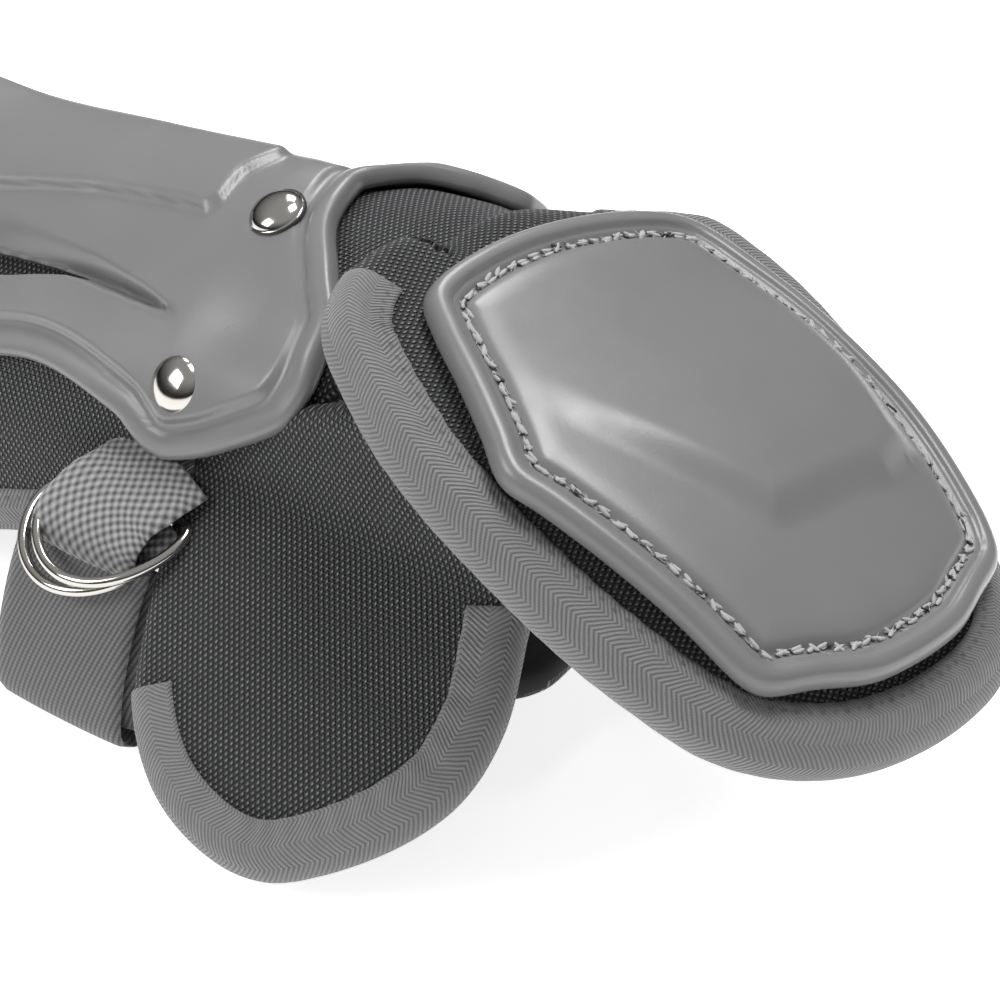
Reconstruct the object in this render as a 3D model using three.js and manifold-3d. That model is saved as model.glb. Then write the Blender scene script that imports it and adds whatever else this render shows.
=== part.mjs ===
// Catcher leg guard lying on its back, plastic side up. Millimetres, X along the leg toward the foot, Z up.
// x = 0 is the notch at the ankle end of the shin shell and z = 0 is the floor, before the group is centred.
import * as THREE from 'three';
import { mergeVertices } from 'three/addons/utils/BufferGeometryUtils.js';
import Module from 'manifold-3d';

const wasm = await Module();
wasm.setup();

// Driving dimensions
const CLEARANCE = 0.35;

const SHELL_LENGTH = 330;
const SHELL_WALL = 3;
const CREST_HEIGHT = 105;
const ANKLE_HALF_GIRTH = 80;
const LINER_THICKNESS = 11;
const LINER_END = 25.4;

const VENT_START = 47;
const VENT_LENGTH = 88;
const VENT_WIDTH = 9;

const CUP_GAP = 3;
const CUP_LENGTH = 118;
const CUP_CREST = 138;
const CUP_HALF_GIRTH = 104;
const THIGH_LENGTH = 108;
const THIGH_CREST = 128;
const THIGH_HALF_GIRTH = 112;
const UPPER_PAD_MARGIN = 14;
const PAD_SEAT = 0.8;

const PLATE_LENGTH = 116;
const PLATE_HALF_WIDTH = 52;
const PLATE_WALL = 3.5;
const PLATE_DOME = 8;
const PLATE_ORIGIN = new THREE.Vector3(47, 5, CREST_HEIGHT - 7);
const PLATE_SEAT = 1.8;
const FLAP_YAW = 9;
const FLAP_DROOP = 26;
const FLAP_ROLL = -9;
const FLAP_LENGTH = 143;
const FLAP_HALF_WIDTH = 61;
const FLAP_BACK = 22;
const FLAP_THICKNESS = 11;
const FLAP_BLEND = 6;

const WING_THICKNESS = 9;
const WING_TOP_Y = 46;
const WING_TOP_Z = CREST_HEIGHT - 36.6;
const WING_DROP = 11;
const WING_SLOPE = 42;
const WING_BEND = 12;
const WING_START = 3.5;
const WING_WIDTH = 79;
const FAR_WING_TOP_Z = WING_TOP_Z - 2.6;
const FAR_WING_START = 2.5;
const FAR_WING_WIDTH = 58;
const WING_REACH = 82;
const FAR_WING_LEAN = 10;
const FAR_WING_STRAIGHT = 20;
const FAR_WING_CURL = 60;

const TAPE_WIDTH = 13;
const TAPE_WALL = 1.2;
const TAPE_CLEARANCE = 0.4;
const RINGS = [0.4, 0.72, 1];
const INNER_SHARE = 0.78;

const RIVET_RADIUS = 6;
const RIVET_DOME = 2.6;

const STRAP_WIDTH = 36;
const STRAP_THICKNESS = 1.6;
const FLOOR_SNAP = 0.3;
const ANKLE_STRAP_X = -21;
const CALF_STRAP_X = -150;
const SHIN_TOP_STRAP_X = -264;
const SHIN_STRAP_TOP = CREST_HEIGHT - 81;
const KNEE_STRAP_TOP = CUP_CREST - 66;
const THIGH_STRAP_TOP = THIGH_CREST - 63;
const WEBBING_WIDTH = 26;
const WEBBING_THICKNESS = 1.8;
const RING_RADIUS = 17;
const RING_DEPTH_SHARE = 0.8;
const RING_WIRE = 2.5;
const RING_TILT = 15;
const RING_SIDE = -68.5;
const RING_HEIGHT = 38.5;

// Colours
const PLASTIC = { color: 0x8a8788, roughness: 0.42, metalness: 0.0 };
const MESH_CLOTH = { color: 0x24272b, roughness: 0.9, metalness: 0.0 };
const TAPE_CLOTH = { color: 0x77767a, roughness: 0.85, metalness: 0.0 };
const STEEL = { color: 0xc9c9c6, roughness: 0.2, metalness: 1.0 };

// Sections of the shin arch, from the ankle notch toward the knee. Each row: at = share of the shell length,
// girth = share of the ankle half girth, crest = share of the crest height, shell and liner = how far round
// the half girth the shell and the liner reach.
const SHIN_SECTIONS = [
  { at: -0.1, girth: 0.98, crest: 1.045, shell: 0.93, liner: 0.76 },
  { at: 0.0, girth: 1.0, crest: 1.0, shell: 0.93, liner: 0.76 },
  { at: 0.02, girth: 1.005, crest: 0.991, shell: 0.925, liner: 0.78 },
  { at: 0.05, girth: 1.02, crest: 0.978, shell: 0.89, liner: 1.1 },
  { at: 0.08, girth: 1.04, crest: 0.966, shell: 0.8, liner: 1.13 },
  { at: 0.17, girth: 1.1, crest: 0.935, shell: 0.69, liner: 1.09 },
  { at: 0.3, girth: 1.21, crest: 0.903, shell: 0.76, liner: 1.15 },
  { at: 0.39, girth: 1.29, crest: 0.902, shell: 0.86, liner: 1.1 },
  { at: 0.52, girth: 1.42, crest: 0.925, shell: 0.93, liner: 1.1 },
  { at: 0.62, girth: 1.5, crest: 0.955, shell: 0.95, liner: 1.17 },
  { at: 0.73, girth: 1.57, crest: 0.995, shell: 0.96, liner: 1.09 },
  { at: 0.87, girth: 1.65, crest: 1.06, shell: 0.95, liner: 1.09 },
  { at: 1.0, girth: 1.7, crest: 1.12, shell: 0.86, liner: 1.18 },
];

// Ankle end of the shell. Each row: round = share of the way round the half girth, out = mm toward the foot.
const SHELL_END = [
  { round: 0, out: 0 },
  { round: 0.18, out: 4 },
  { round: 0.35, out: 13 },
  { round: 0.5, out: 20 },
  { round: 0.66, out: 20.5 },
  { round: 0.79, out: 18 },
  { round: 0.93, out: 2 },
  { round: 1.0, out: -12 },
];

// Outlines of the knee cup and the thigh plate. Each row: at = share of the length, reach = share of the half
// girth, crest = share of the crest height.
const CUP_SECTIONS = [
  { at: 0, reach: 0.62, crest: 0.86 },
  { at: 0.12, reach: 0.78, crest: 0.93 },
  { at: 0.5, reach: 0.95, crest: 1.0 },
  { at: 0.88, reach: 0.78, crest: 0.93 },
  { at: 1, reach: 0.62, crest: 0.86 },
];
const THIGH_SECTIONS = [
  { at: 0, reach: 0.6, crest: 0.95 },
  { at: 0.15, reach: 0.8, crest: 0.98 },
  { at: 0.55, reach: 0.88, crest: 1.0 },
  { at: 0.85, reach: 0.74, crest: 0.97 },
  { at: 1, reach: 0.58, crest: 0.93 },
];

// Half outline of the foot plate, from the ankle end to the toe end. along = share of the plate length,
// across = share of the plate half width.
const PLATE_OUTLINE = [
  { along: -0.07, across: 0 },
  { along: -0.065, across: 0.4 },
  { along: -0.01, across: 0.73 },
  { along: 0.12, across: 0.87 },
  { along: 0.34, across: 1.0 },
  { along: 0.55, across: 0.96 },
  { along: 0.83, across: 0.79 },
  { along: 0.9, across: 0.55 },
  { along: 0.93, across: 0 },
];

// Half outline of the foot flap, from the ankle end to the toe end, as shares of its length and half width.
const FLAP_OUTLINE = [
  { along: 0, across: 0 },
  { along: 0.005, across: 0.42 },
  { along: 0.05, across: 0.68 },
  { along: 0.16, across: 0.9 },
  { along: 0.32, across: 1.0 },
  { along: 0.53, across: 0.97 },
  { along: 0.72, across: 0.88 },
  { along: 0.86, across: 0.74 },
  { along: 0.96, across: 0.5 },
  { along: 1.0, across: 0 },
];

// Whole outline of an ankle wing. along = share of the wing width toward the foot, down = share of its reach.
const WING_OUTLINE = [
  { along: 0.0, down: 0.06 },
  { along: 0.0, down: 0.3 },
  { along: 0.0, down: 0.6 },
  { along: 0.08, down: 0.8 },
  { along: 0.26, down: 0.95 },
  { along: 0.5, down: 1.0 },
  { along: 0.74, down: 0.91 },
  { along: 0.93, down: 0.72 },
  { along: 1.0, down: 0.5 },
  { along: 0.97, down: 0.22 },
  { along: 0.86, down: 0.02 },
  { along: 0.68, down: -0.07 },
  { along: 0.42, down: -0.07 },
  { along: 0.27, down: -0.01 },
  { along: 0.12, down: 0.0 },
];

// Routes across the leg in the plane of y and z, near side first.
const ANKLE_STRAP_ROUTE = [[-68.4, 36.2], [-72, 27], [-77, 12], [-77.5, 4], [-73, 0.8], [-60, 0.8], [20, 0.8],
  [34, 0.8]];
const WEBBING_ROUTE = [[-51.2, 50], [-55.5, 49.6], [-61, 47.8], [-66, 43.5], [-68, 38.4]];

const group = new THREE.Group();

function smoothRows(rows, key, field, at) {
  // Monotone cubic through the rows, so that a value never swings past its neighbours.
  const last = rows.length - 1;
  if (at <= rows[0][key]) return rows[0][field];
  if (at >= rows[last][key]) return rows[last][field];
  const i = rows.findIndex((row, n) => n < last && at < rows[n + 1][key]);
  const slope = (n) => (rows[n + 1][field] - rows[n][field]) / (rows[n + 1][key] - rows[n][key]);
  const tangent = (n) => {
    if (n === 0) return slope(0);
    if (n === last) return slope(last - 1);
    const before = slope(n - 1);
    const after = slope(n);
    return before * after <= 0 ? 0 : (2 * before * after) / (before + after);
  };
  const step = rows[i + 1][key] - rows[i][key];
  const t = (at - rows[i][key]) / step;
  const h = [2 * t ** 3 - 3 * t ** 2 + 1, t ** 3 - 2 * t ** 2 + t, -2 * t ** 3 + 3 * t ** 2, t ** 3 - t ** 2];
  const held = h[0] * rows[i][field] + h[2] * rows[i + 1][field];
  return held + step * (h[1] * tangent(i) + h[3] * tangent(i + 1));
}

function archPoint(x, crest, halfGirth, round, depth) {
  // A point of an arch that turns from level at the crest to upright at the half girth, and runs straight
  // down beyond it. round is the way round from the crest, depth the distance inside the outer face.
  const side = Math.sign(round) || 1;
  const length = Math.abs(round);
  const steps = 40;
  const lean = (share) => (Math.PI / 2) * (share + (0.4 * Math.sin(2 * Math.PI * share)) / (2 * Math.PI));
  let y = 0;
  let z = 0;
  const curved = Math.min(length, halfGirth);
  for (let i = 0; i < steps; i += 1) {
    const angle = lean(((i + 0.5) / steps) * (curved / halfGirth));
    y += (Math.cos(angle) * curved) / steps;
    z -= (Math.sin(angle) * curved) / steps;
  }
  z -= length - curved;
  const angle = lean(curved / halfGirth);
  return new THREE.Vector3(x, side * (y - Math.sin(angle) * depth), crest + z - Math.cos(angle) * depth);
}

function shinPoint(x, round, depth) {
  const at = -x / SHELL_LENGTH;
  const crest = CREST_HEIGHT * smoothRows(SHIN_SECTIONS, 'at', 'crest', at);
  return archPoint(x, crest, shinGirth(x), round, depth);
}

function shinGirth(x) {
  return ANKLE_HALF_GIRTH * smoothRows(SHIN_SECTIONS, 'at', 'girth', -x / SHELL_LENGTH);
}

function closedMesh(positions, triangles) {
  const geometry = new THREE.BufferGeometry();
  geometry.setAttribute('position', new THREE.Float32BufferAttribute(positions, 3));
  geometry.setIndex(triangles);
  geometry.computeVertexNormals();
  return geometry;
}

function gridSolid(rows, columns, pointAt) {
  // A thin wall over a grid: pointAt(row share, column share, 0 outer or 1 inner), closed along its edges.
  const positions = [];
  const index = (i, j, side) => side * (rows + 1) * (columns + 1) + i * (columns + 1) + j;
  for (let side = 0; side < 2; side += 1) {
    for (let i = 0; i <= rows; i += 1) {
      for (let j = 0; j <= columns; j += 1) positions.push(...pointAt(i / rows, j / columns, side).toArray());
    }
  }
  const triangles = [];
  const quad = (a, b, c, d) => triangles.push(a, b, c, a, c, d);
  for (let i = 0; i < rows; i += 1) {
    for (let j = 0; j < columns; j += 1) {
      quad(index(i, j, 0), index(i + 1, j, 0), index(i + 1, j + 1, 0), index(i, j + 1, 0));
      quad(index(i, j, 1), index(i, j + 1, 1), index(i + 1, j + 1, 1), index(i + 1, j, 1));
    }
  }
  for (let i = 0; i < rows; i += 1) {
    quad(index(i, 0, 0), index(i, 0, 1), index(i + 1, 0, 1), index(i + 1, 0, 0));
    quad(index(i, columns, 0), index(i + 1, columns, 0), index(i + 1, columns, 1), index(i, columns, 1));
  }
  for (let j = 0; j < columns; j += 1) {
    quad(index(0, j, 0), index(0, j + 1, 0), index(0, j + 1, 1), index(0, j, 1));
    quad(index(rows, j, 0), index(rows, j, 1), index(rows, j + 1, 1), index(rows, j + 1, 0));
  }
  return closedMesh(positions, triangles);
}

function outwardAt(outline, n) {
  // The direction out of a closed outline at one of its points.
  const count = outline.length;
  const turn = Math.sign(THREE.ShapeUtils.area(outline.map(([a, b]) => new THREE.Vector2(a, b))));
  const before = outline[(n - 1 + count) % count];
  const after = outline[(n + 1) % count];
  const run = turn * Math.hypot(after[0] - before[0], after[1] - before[1]);
  return [(after[1] - before[1]) / run, (before[0] - after[0]) / run];
}

function movedOut(outline, n, distance) {
  const outward = outwardAt(outline, n);
  return [outline[n][0] + outward[0] * distance, outline[n][1] + outward[1] * distance];
}

function discSolid(outline, centre, pointAt) {
  // A plate or pad inside a closed outline: pointAt(a, b, share from the centre, 0 outer or 1 inner). Its
  // outer ring of facets is as wide as the tape.
  const count = outline.length;
  const inset = outline.map((spot, n) => movedOut(outline, n, -TAPE_WIDTH));
  const rings = [...RINGS.map((share) => inset.map(([a, b]) => (
    [centre[0] + (a - centre[0]) * share, centre[1] + (b - centre[1]) * share, share * INNER_SHARE]
  ))), outline.map(([a, b]) => [a, b, 1])];
  const positions = [];
  for (let side = 0; side < 2; side += 1) {
    positions.push(...pointAt(centre[0], centre[1], 0, side).toArray());
    rings.flat().forEach(([a, b, share]) => positions.push(...pointAt(a, b, share, side).toArray()));
  }
  const last = rings.length;
  const block = 1 + last * count;
  const index = (side, k, n) => side * block + (k === 0 ? 0 : 1 + (k - 1) * count + (n % count));
  const triangles = [];
  for (let n = 0; n < count; n += 1) {
    triangles.push(index(0, 0, 0), index(0, 1, n), index(0, 1, n + 1));
    triangles.push(index(1, 0, 0), index(1, 1, n + 1), index(1, 1, n));
    for (let k = 1; k < last; k += 1) {
      triangles.push(index(0, k, n), index(0, k + 1, n), index(0, k, n + 1));
      triangles.push(index(0, k, n + 1), index(0, k + 1, n), index(0, k + 1, n + 1));
      triangles.push(index(1, k, n), index(1, k + 1, n + 1), index(1, k + 1, n));
      triangles.push(index(1, k, n), index(1, k, n + 1), index(1, k + 1, n + 1));
    }
    triangles.push(index(0, last, n), index(1, last, n), index(0, last, n + 1));
    triangles.push(index(0, last, n + 1), index(1, last, n), index(1, last, n + 1));
  }
  return closedMesh(positions, triangles);
}

function sweptSolid(stations, closed) {
  // Joins sections of equal point count into one solid; an open run gets flat ends.
  const count = stations[0].length;
  const positions = stations.flat().flatMap((point) => point.toArray());
  const triangles = [];
  const runs = closed ? stations.length : stations.length - 1;
  for (let i = 0; i < runs; i += 1) {
    const next = (i + 1) % stations.length;
    for (let n = 0; n < count; n += 1) {
      const m = (n + 1) % count;
      triangles.push(i * count + n, next * count + n, next * count + m);
      triangles.push(i * count + n, next * count + m, i * count + m);
    }
  }
  if (!closed) {
    const flat = SECTION_FLAT[count];
    const end = (stations.length - 1) * count;
    const turn = Math.sign(THREE.ShapeUtils.area(flat));
    THREE.ShapeUtils.triangulateShape(flat, []).forEach((corners) => {
      const sameWay = Math.sign(THREE.ShapeUtils.area(corners.map((n) => flat[n]))) === turn;
      const [a, b, c] = sameWay ? corners : [...corners].reverse();
      triangles.push(a, b, c, end + c, end + b, end + a);
    });
  }
  return closedMesh(positions, triangles);
}

// Plain stand-ins for the tape's folded section and for a strap's, used to fill an open end.
const SECTION_FLAT = {
  8: [[-4, 2], [1, 2], [1, -2], [-4, -2], [-4, -1], [0, -1], [0, 1], [-4, 1]]
    .map(([a, b]) => new THREE.Vector2(a, b)),
  4: [[0, 0], [1, 0], [1, 1], [0, 1]].map(([a, b]) => new THREE.Vector2(a, b)),
};

function facingOut(geometry) {
  // Turns the faces over where the signed volume is negative.
  const position = geometry.attributes.position;
  const index = geometry.index.array;
  const corner = [0, 1, 2].map(() => new THREE.Vector3());
  let volume = 0;
  for (let i = 0; i < index.length; i += 3) {
    corner.forEach((point, n) => point.fromBufferAttribute(position, index[i + n]));
    volume += corner[0].dot(corner[1].clone().cross(corner[2]));
  }
  if (volume < 0) {
    const turned = [];
    for (let i = 0; i < index.length; i += 3) turned.push(index[i], index[i + 2], index[i + 1]);
    geometry.setIndex(turned);
    geometry.computeVertexNormals();
  }
  return geometry;
}

function addPiece(name, geometry, finish) {
  const mesh = new THREE.Mesh(facingOut(geometry), new THREE.MeshStandardMaterial(finish));
  mesh.name = name;
  group.add(mesh);
  return mesh;
}

function solidOf(geometry) {
  const plain = geometry.clone();
  plain.deleteAttribute('normal');
  plain.deleteAttribute('uv');
  const merged = facingOut(mergeVertices(plain, 1e-4));
  const source = { numProp: 3, vertProperties: merged.attributes.position.array };
  source.triVerts = new Uint32Array(merged.index.array);
  return new wasm.Manifold(new wasm.Mesh(source));
}

function geometryOf(solid) {
  const mesh = solid.getMesh();
  return closedMesh(Array.from(mesh.vertProperties), Array.from(mesh.triVerts));
}

function smoothLoop(points, count) {
  const corners = points.map(([a, b]) => new THREE.Vector3(a, b, 0));
  const curve = new THREE.CatmullRomCurve3(corners, true, 'centripetal');
  return curve.getSpacedPoints(count).slice(0, count).map((point) => [point.x, point.y]);
}

function mirroredOutline(rows, length, halfWidth, start) {
  // Half an outline in shares becomes a whole one in mm, near side first.
  const side = (sign) => rows.map((row) => [start + row.along * length, sign * row.across * halfWidth]);
  const far = side(1).slice(1, -1).reverse();
  return [...side(-1), ...far];
}

// Shin shell, with its long side vents
function shellSurface(along, across, inner) {
  const round = across * 2 - 1;
  const end = smoothRows(SHELL_END, 'round', 'out', Math.abs(round));
  const start = -SHELL_LENGTH + 14 * round * round;
  const x = start + (end - start) * along;
  const reach = smoothRows(SHIN_SECTIONS, 'at', 'shell', -x / SHELL_LENGTH);
  return shinPoint(x, round * reach * shinGirth(x), inner * SHELL_WALL);
}

function ventCutter(side) {
  // A pointed leaf seen from the side and above, pushed through the shell wall.
  const shape = new THREE.Shape();
  const rise = -side * VENT_WIDTH;
  shape.moveTo(0, 0);
  shape.quadraticCurveTo(-VENT_LENGTH * 0.45, rise, -VENT_LENGTH, rise * 0.35);
  shape.quadraticCurveTo(-VENT_LENGTH * 0.4, rise * -0.25, 0, 0);
  const cutter = new THREE.ExtrudeGeometry(shape, { depth: 30, bevelEnabled: false, curveSegments: 6 });
  cutter.translate(0, 0, -15);
  cutter.rotateX(THREE.MathUtils.degToRad(side * -45));
  const middle = shinPoint(-VENT_START, side * 0.5 * shinGirth(-VENT_START), SHELL_WALL / 2);
  const tail = -VENT_START - VENT_LENGTH;
  const back = shinPoint(tail, side * 0.5 * shinGirth(tail), SHELL_WALL / 2);
  const yaw = Math.atan2(middle.y - back.y, VENT_LENGTH);
  const pitch = Math.atan2(middle.z - back.z, VENT_LENGTH);
  cutter.rotateY(-pitch);
  cutter.rotateZ(yaw);
  cutter.translate(middle.x, middle.y, middle.z);
  return solidOf(cutter);
}

let shell = solidOf(gridSolid(20, 18, shellSurface));
[-1, 1].forEach((side) => {
  shell = shell.subtract(ventCutter(side));
});
addPiece('shin_shell', geometryOf(shell), PLASTIC);

const padDepth = SHELL_WALL + PAD_SEAT;

// Shin liner under the shell, open along the underside where the leg lies
function linerSurface(along, across, inner) {
  const round = across * 2 - 1;
  const end = LINER_END - 5 * round * round;
  const x = -SHELL_LENGTH + (end + SHELL_LENGTH) * along;
  const reach = smoothRows(SHIN_SECTIONS, 'at', 'liner', -x / SHELL_LENGTH);
  return shinPoint(x, round * reach * shinGirth(x), padDepth + inner * LINER_THICKNESS);
}
addPiece('shin_liner', gridSolid(18, 14, linerSurface), MESH_CLOTH);

// Knee cup, thigh plate and the pads under them
function upperSurface(rows, start, length, crest, halfGirth) {
  return (x, round, margin, depth) => {
    const at = (start - x) / length;
    const rise = crest * smoothRows(rows, 'at', 'crest', at);
    const reach = smoothRows(rows, 'at', 'reach', at) * halfGirth + margin;
    return archPoint(x, rise, halfGirth, round * reach, depth);
  };
}

function upperPair(plateName, padName, surface, start, length) {
  const rows = 9;
  const plate = (along, across, inner) => (
    surface(start - length * along, across * 2 - 1, 0, inner * SHELL_WALL)
  );
  addPiece(plateName, gridSolid(rows, 14, plate), PLASTIC);
  // The pad has one row more, which bridges the gap to its neighbour.
  const pad = (along, across, inner) => {
    const row = Math.round(along * (rows + 1));
    const x = row === 0 ? start + CUP_GAP - CLEARANCE : start - (length * (row - 1)) / rows;
    return surface(x, across * 2 - 1, UPPER_PAD_MARGIN, SHELL_WALL + PAD_SEAT + inner * LINER_THICKNESS);
  };
  addPiece(padName, gridSolid(rows + 1, 14, pad), MESH_CLOTH);
}
const cupStart = -SHELL_LENGTH - CUP_GAP;
const thighStart = cupStart - CUP_LENGTH - CUP_GAP;
const cupSurface = upperSurface(CUP_SECTIONS, cupStart, CUP_LENGTH, CUP_CREST, CUP_HALF_GIRTH);
const thighSurface = upperSurface(THIGH_SECTIONS, thighStart, THIGH_LENGTH, THIGH_CREST, THIGH_HALF_GIRTH);
upperPair('knee_cup', 'knee_pad', cupSurface, cupStart, CUP_LENGTH);
upperPair('thigh_plate', 'thigh_pad', thighSurface, thighStart, THIGH_LENGTH);

// Foot flap: its own frame, drooping and turned a little toward the near side
const flapAlong = new THREE.Vector3(1, 0, 0);
flapAlong.applyAxisAngle(new THREE.Vector3(0, 1, 0), THREE.MathUtils.degToRad(FLAP_DROOP));
flapAlong.applyAxisAngle(new THREE.Vector3(0, 0, 1), -THREE.MathUtils.degToRad(FLAP_YAW));
const flapAcross = new THREE.Vector3(0, 1, 0);
flapAcross.applyAxisAngle(new THREE.Vector3(0, 0, 1), -THREE.MathUtils.degToRad(FLAP_YAW));
flapAcross.applyAxisAngle(flapAlong, THREE.MathUtils.degToRad(FLAP_ROLL));
const flapUp = flapAlong.clone().cross(flapAcross);

function flapPlane(along, across, height) {
  return PLATE_ORIGIN.clone().addScaledVector(flapAlong, along).addScaledVector(flapAcross, across)
    .addScaledVector(flapUp, height);
}

function flapTop(along, across) {
  // The flap leaves the arch of the liner at its ankle end and lies flat under the foot plate.
  const share = THREE.MathUtils.smoothstep(along, -FLAP_BACK - FLAP_BLEND, 1);
  const x = PLATE_ORIGIN.x + along * 0.95;
  const arched = shinPoint(x, across, padDepth);
  return arched.lerp(flapPlane(along, across, -PLATE_SEAT), share);
}

function surfaceNormal(surface, a, b) {
  const step = 0.01;
  const alongA = surface(a + step, b).sub(surface(a - step, b));
  const alongB = surface(a, b + step).sub(surface(a, b - step));
  return alongA.cross(alongB).normalize();
}

function flapPoint(along, across, depth) {
  return flapTop(along, across).addScaledVector(surfaceNormal(flapTop, along, across), -depth);
}

const plateOutline = smoothLoop(mirroredOutline(PLATE_OUTLINE, PLATE_LENGTH, PLATE_HALF_WIDTH, 0), 38);
const plateCentre = [PLATE_LENGTH * 0.45, 0];
addPiece('foot_plate', discSolid(plateOutline, plateCentre, (a, b, share, inner) => {
  const dome = PLATE_DOME * (1 - share ** 2.2);
  return flapPlane(a, b, dome + (inner ? 0 : PLATE_WALL));
}), PLASTIC);

const flapOutline = smoothLoop(mirroredOutline(FLAP_OUTLINE, FLAP_LENGTH, FLAP_HALF_WIDTH, -FLAP_BACK), 38);
const flapCentre = [FLAP_LENGTH * 0.4, 0];
addPiece('flap_pad', discSolid(flapOutline, flapCentre, (a, b, share, inner) => {
  const puff = inner || share > 0.7 ? 0 : PLATE_SEAT - 2 * CLEARANCE;
  return flapPoint(a, b, CLEARANCE - puff + inner * FLAP_THICKNESS);
}), MESH_CLOTH);

function edgeTape(outline, from, to, pointAt, thickness) {
  // Sections of the folded tape along part of an outline: it wraps the pad's edge with a small clearance.
  const top = -TAPE_CLEARANCE;
  const bottom = thickness + TAPE_CLEARANCE;
  const lip = TAPE_WALL + TAPE_CLEARANCE;
  const spots = [[-TAPE_WIDTH, top - TAPE_WALL], [lip, top - TAPE_WALL], [lip, bottom + TAPE_WALL],
    [-TAPE_WIDTH, bottom + TAPE_WALL], [-TAPE_WIDTH, bottom], [TAPE_CLEARANCE, bottom], [TAPE_CLEARANCE, top],
    [-TAPE_WIDTH, top]];
  const stations = [];
  for (let n = from; n <= to; n += 1) {
    const inner = movedOut(outline, n, -TAPE_WIDTH);
    stations.push(spots.map(([out, depth]) => {
      const edge = pointAt(outline[n][0], outline[n][1], depth);
      return edge.lerp(pointAt(inner[0], inner[1], depth), -out / TAPE_WIDTH);
    }));
  }
  return stations;
}

const flapDepthPoint = (a, b, depth) => flapPoint(a, b, CLEARANCE + depth);
const flapTape = edgeTape(flapOutline, 4, 34, flapDepthPoint, FLAP_THICKNESS);
addPiece('flap_binding', sweptSolid(flapTape, false), TAPE_CLOTH);

// Ankle wings: a path down the side of the leg, in steps of the distance from the top edge
function wingTurn(side, down) {
  // The lean from straight down, in radians: outward for the near wing, inward for the far one.
  if (side < 0) {
    const bend = THREE.MathUtils.smoothstep(down, WING_DROP - WING_BEND / 2, WING_DROP + WING_BEND / 2);
    return bend * THREE.MathUtils.degToRad(90 - WING_SLOPE);
  }
  const curl = Math.min(Math.max((down - FAR_WING_STRAIGHT) / FAR_WING_CURL, 0), 1);
  return -THREE.MathUtils.degToRad(FAR_WING_LEAN + (90 - FAR_WING_LEAN) * curl);
}

function wingPoint(side, along, down, depth) {
  const steps = 60;
  let out = 0;
  let fall = 0;
  for (let i = 0; i < steps; i += 1) {
    const turn = wingTurn(side, ((i + 0.5) / steps) * down);
    out += (Math.sin(turn) * down) / steps;
    fall += (Math.cos(turn) * down) / steps;
  }
  const turn = wingTurn(side, down);
  const y = WING_TOP_Y + out - Math.cos(turn) * depth;
  const top = side < 0 ? WING_TOP_Z : FAR_WING_TOP_Z;
  const z = top - fall - Math.sin(turn) * depth;
  return new THREE.Vector3(along, side * y, z);
}

function buildWing(name, side, start, width) {
  const corners = WING_OUTLINE.map((row) => [start + row.along * width, row.down * WING_REACH]);
  const outline = smoothLoop(corners, 38);
  const centre = [start + width * 0.5, WING_REACH * 0.42];
  const pointAt = (a, b, depth) => wingPoint(side, a, b, depth);
  addPiece(name, discSolid(outline, centre, (a, b, share, inner) => (
    pointAt(a, b, inner * WING_THICKNESS)
  )), MESH_CLOTH);
  const tape = edgeTape(outline, 4, 26, pointAt, WING_THICKNESS);
  addPiece(`${name}_binding`, sweptSolid(tape, false), TAPE_CLOTH);
}
buildWing('ankle_wing_near', -1, WING_START, WING_WIDTH);
buildWing('ankle_wing_far', 1, FAR_WING_START, FAR_WING_WIDTH);

// Rivets: each head sits just off the plate's face
function rivetHead(name, face, outward) {
  const profile = [[0, 0], [RIVET_RADIUS, 0], [RIVET_RADIUS, 0.5], [RIVET_RADIUS * 0.86, RIVET_DOME * 0.62],
    [RIVET_RADIUS * 0.5, RIVET_DOME * 0.93], [0, RIVET_DOME]];
  const lathe = new THREE.LatheGeometry(profile.map(([r, h]) => new THREE.Vector2(r, h)), 8);
  lathe.applyQuaternion(new THREE.Quaternion().setFromUnitVectors(new THREE.Vector3(0, 1, 0), outward));
  lathe.translate(...face.clone().addScaledVector(outward, CLEARANCE).toArray());
  lathe.deleteAttribute('normal');
  lathe.deleteAttribute('uv');
  addPiece(name, mergeVertices(lathe, 1e-4), STEEL);
}

const RIVETS = [
  { name: 'rivet_front', x: -9, round: 16.3 },
  { name: 'rivet_corner', x: -12, round: 58 },
  { name: 'rivet_top', x: 18 - SHELL_LENGTH, round: 92 },
];
function rivetPair(name, surface, x, round) {
  [-1, 1].forEach((side) => {
    const outward = surfaceNormal(surface, x, side * round);
    rivetHead(`${name}_${side < 0 ? 'near' : 'far'}`, surface(x, side * round), outward);
  });
}
RIVETS.forEach(({ name, x, round }) => rivetPair(name, (a, b) => shinPoint(a, b, 0), x, round));
const cupMiddle = cupStart - CUP_LENGTH / 2;
const thighMiddle = thighStart - THIGH_LENGTH / 2;
rivetPair('rivet_cup', (a, b) => cupSurface(a, b, 0, 0), cupMiddle, 0.84);
rivetPair('rivet_thigh', (a, b) => thighSurface(a, b, 0, 0), thighMiddle, 0.84);

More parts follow.
